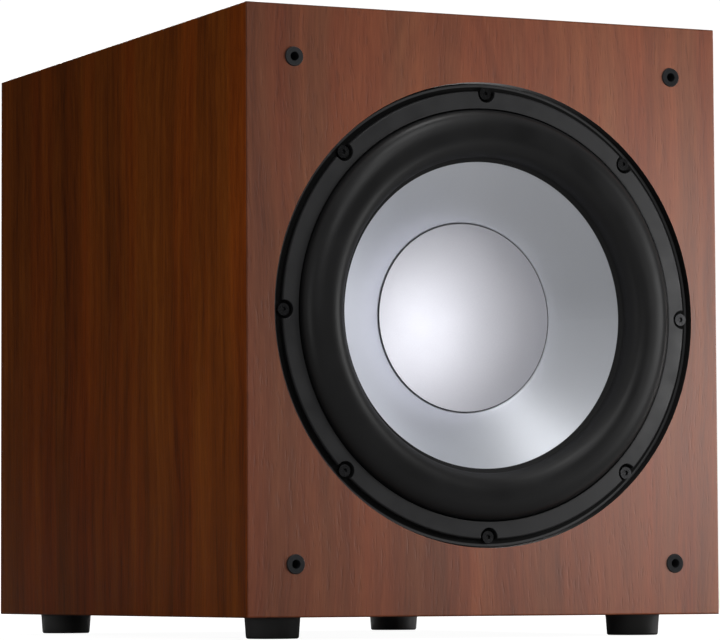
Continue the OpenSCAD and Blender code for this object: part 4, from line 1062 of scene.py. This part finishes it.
def flat_material(name, grey, glow):
    """A matt grey for the stage, which may also glow white."""
    material = bpy.data.materials.new(name)
    material.use_nodes = True
    surface = material.node_tree.nodes["Principled BSDF"]
    surface.inputs["Base Color"].default_value = (grey, grey, grey, 1.0)
    surface.inputs["Roughness"].default_value = 0.9
    surface.inputs["Specular IOR Level"].default_value = 0.0
    surface.inputs["Emission Color"].default_value = (1.0, 1.0, 1.0, 1.0)
    surface.inputs["Emission Strength"].default_value = glow
    return material


def camera_only(obj):
    """Hides a piece of the stage from all rays but the camera's."""
    for ray in ("diffuse", "glossy", "transmission", "volume_scatter", "shadow"):
        setattr(obj, f"visible_{ray}", False)


def stage_floor(name, height, material):
    """A round floor about the object."""
    bpy.ops.mesh.primitive_circle_add(vertices=96, radius=FLOOR_R, fill_type="NGON", location=(0, 0, height))
    floor = bpy.context.object
    floor.name = name
    floor.data.materials.append(material)
    return floor


def floor_and_backdrop():
    """A white floor and dome that only the camera sees, and a grey floor just below for bounced light."""
    floor = stage_floor("studio_floor", 0, flat_material("pale floor", FLOOR_GREY, FLOOR_GLOW))
    camera_only(floor)
    grey = flat_material("bounce floor", BOUNCE_GREY, 0.0)
    bounce = stage_floor("studio_floor_bounce", -BOUNCE_DROP, grey)
    bounce.visible_camera = False
    bpy.ops.mesh.primitive_uv_sphere_add(segments=64, ring_count=32, radius=DOME_R, location=(0, 0, 0))
    dome = bpy.context.object
    dome.name = "studio_dome"
    dome.data.materials.append(flat_material("white backdrop", 0.0, DOME_GLOW))
    camera_only(dome)


def softbox(name, azimuth, elevation, distance, size, power, only=(), shadowless=False, height=None):
    """An area light aimed at the driver. Azimuth 0 is straight in front, positive to the right.

    Distance, size and height are in metres, and power is in watts.
    With a list of objects in only, the light is flagged off from everything else. A shadowless
    one is not blocked by anything but those objects.
    """
    a, e = math.radians(azimuth), math.radians(elevation)
    away = Vector((math.sin(a) * math.cos(e), -math.cos(a) * math.cos(e), math.sin(e)))
    data = bpy.data.lights.new(name, "AREA")
    data.shape = "RECTANGLE"
    data.size = size
    data.size_y = height or size
    data.energy = power
    lamp = bpy.data.objects.new(name, data)
    lamp.location = Vector((0, 0, driver_z)) + away * distance
    lamp.rotation_mode = "QUATERNION"
    lamp.rotation_quaternion = away.to_track_quat("Z", "Y")
    bpy.context.scene.collection.objects.link(lamp)
    if only:
        lit = bpy.data.collections.new(f"lit by {name}")
        for obj in only:
            lit.objects.link(obj)
        lamp.light_linking.receiver_collection = lit
        if shadowless:
            lamp.light_linking.blocker_collection = lit


def studio_air():
    """Even white air, with a dark flag where the left side and the front each mirror it to the camera."""
    world = bpy.data.worlds.new("studio air")
    world.use_nodes = True
    tree = world.node_tree
    background = tree.nodes["Background"]
    background.inputs["Color"].default_value = (1.0, 1.0, 1.0, 1.0)
    place = tree.nodes.new("ShaderNodeTexCoord")
    strength = None
    for direction, soft, full, low in DARK_FLAGS:
        toward = tree.nodes.new("ShaderNodeVectorMath")
        toward.operation = "DOT_PRODUCT"
        toward.inputs[1].default_value = Vector(direction).normalized()
        tree.links.new(place.outputs["Generated"], toward.inputs[0])
        flag = tree.nodes.new("ShaderNodeMapRange")
        flag.interpolation_type = "SMOOTHSTEP"
        for socket, value in zip(("From Min", "From Max", "To Min", "To Max"), (soft, full, 1.0, low)):
            flag.inputs[socket].default_value = value
        tree.links.new(toward.outputs["Value"], flag.inputs["Value"])
        product = tree.nodes.new("ShaderNodeMath")
        product.operation = "MULTIPLY"
        tree.links.new(flag.outputs["Result"], product.inputs[0])
        if strength is None:
            product.inputs[1].default_value = AIR_STRENGTH
        else:
            tree.links.new(strength, product.inputs[1])
        strength = product.outputs[0]
    tree.links.new(strength, background.inputs["Strength"])
    bpy.context.scene.world = world


def lights():
    """Softboxes for the whole object or all but the surround, and flagged ones for one part each."""
    roll = [bpy.data.objects["rubber_surround"]]
    others = [obj for obj in bpy.context.scene.objects if obj.type == "MESH" and obj not in roll]
    veneer_front = [nodes["front_baffle"]]
    ring = [nodes["driver_gasket"], nodes["driver_flange"]]
    softbox("right", 100, 22, FAR, PANEL, 45, only=others)
    softbox("right_low", 75, 0, FAR, PANEL, 6, only=others)
    softbox("right_mid", 75, 22, FAR, PANEL, 3.2, only=others)
    softbox("overhead", 20, 82, FAR, PANEL, 8)
    softbox("front_high", 5, 45, FAR, PANEL, 6)
    softbox("front", 5, 22, FAR, PANEL, 4.6)
    softbox("cap_key", -21, -11, 2.2, 0.9, 112, only=[nodes["dust_cap"]], shadowless=True, height=2.4)
    softbox("front_key", 58, -9, 1.5, 0.6, 41, only=veneer_front)
    softbox("front_haze", 34, 0, 0.9, 0.36, 6.4, only=veneer_front)
    softbox("ring_haze", 38, 1, 0.9, 0.25, 1.9, only=ring)
    softbox("roll_right", 50, 10, FAR, PANEL, 3, only=roll)
    softbox("roll_haze", 40, 0, 0.9, 0.3, 0.6, only=roll)
    softbox("roll_overhead", 20, 82, FAR, PANEL, 15, only=roll)
    softbox("roll_left", -45, 0, FAR, PANEL, 2.5, only=roll)
    softbox("screw_glint", 27, 1, 1.2, 0.16, 0.4, only=[nodes["driver_screws"]])
    softbox("edge_left", -86, 0, 1.5, 0.5, 8, only=veneer_front)
    softbox("side_fill", -50, -6, 0.9, 0.5, 3.6, only=[nodes["left_panel"]])
    softbox("rear", 165, 20, FAR, 1.0, 60)
    studio_air()
    bpy.context.scene.view_settings.view_transform = "Standard"


floor_and_backdrop()
lights()
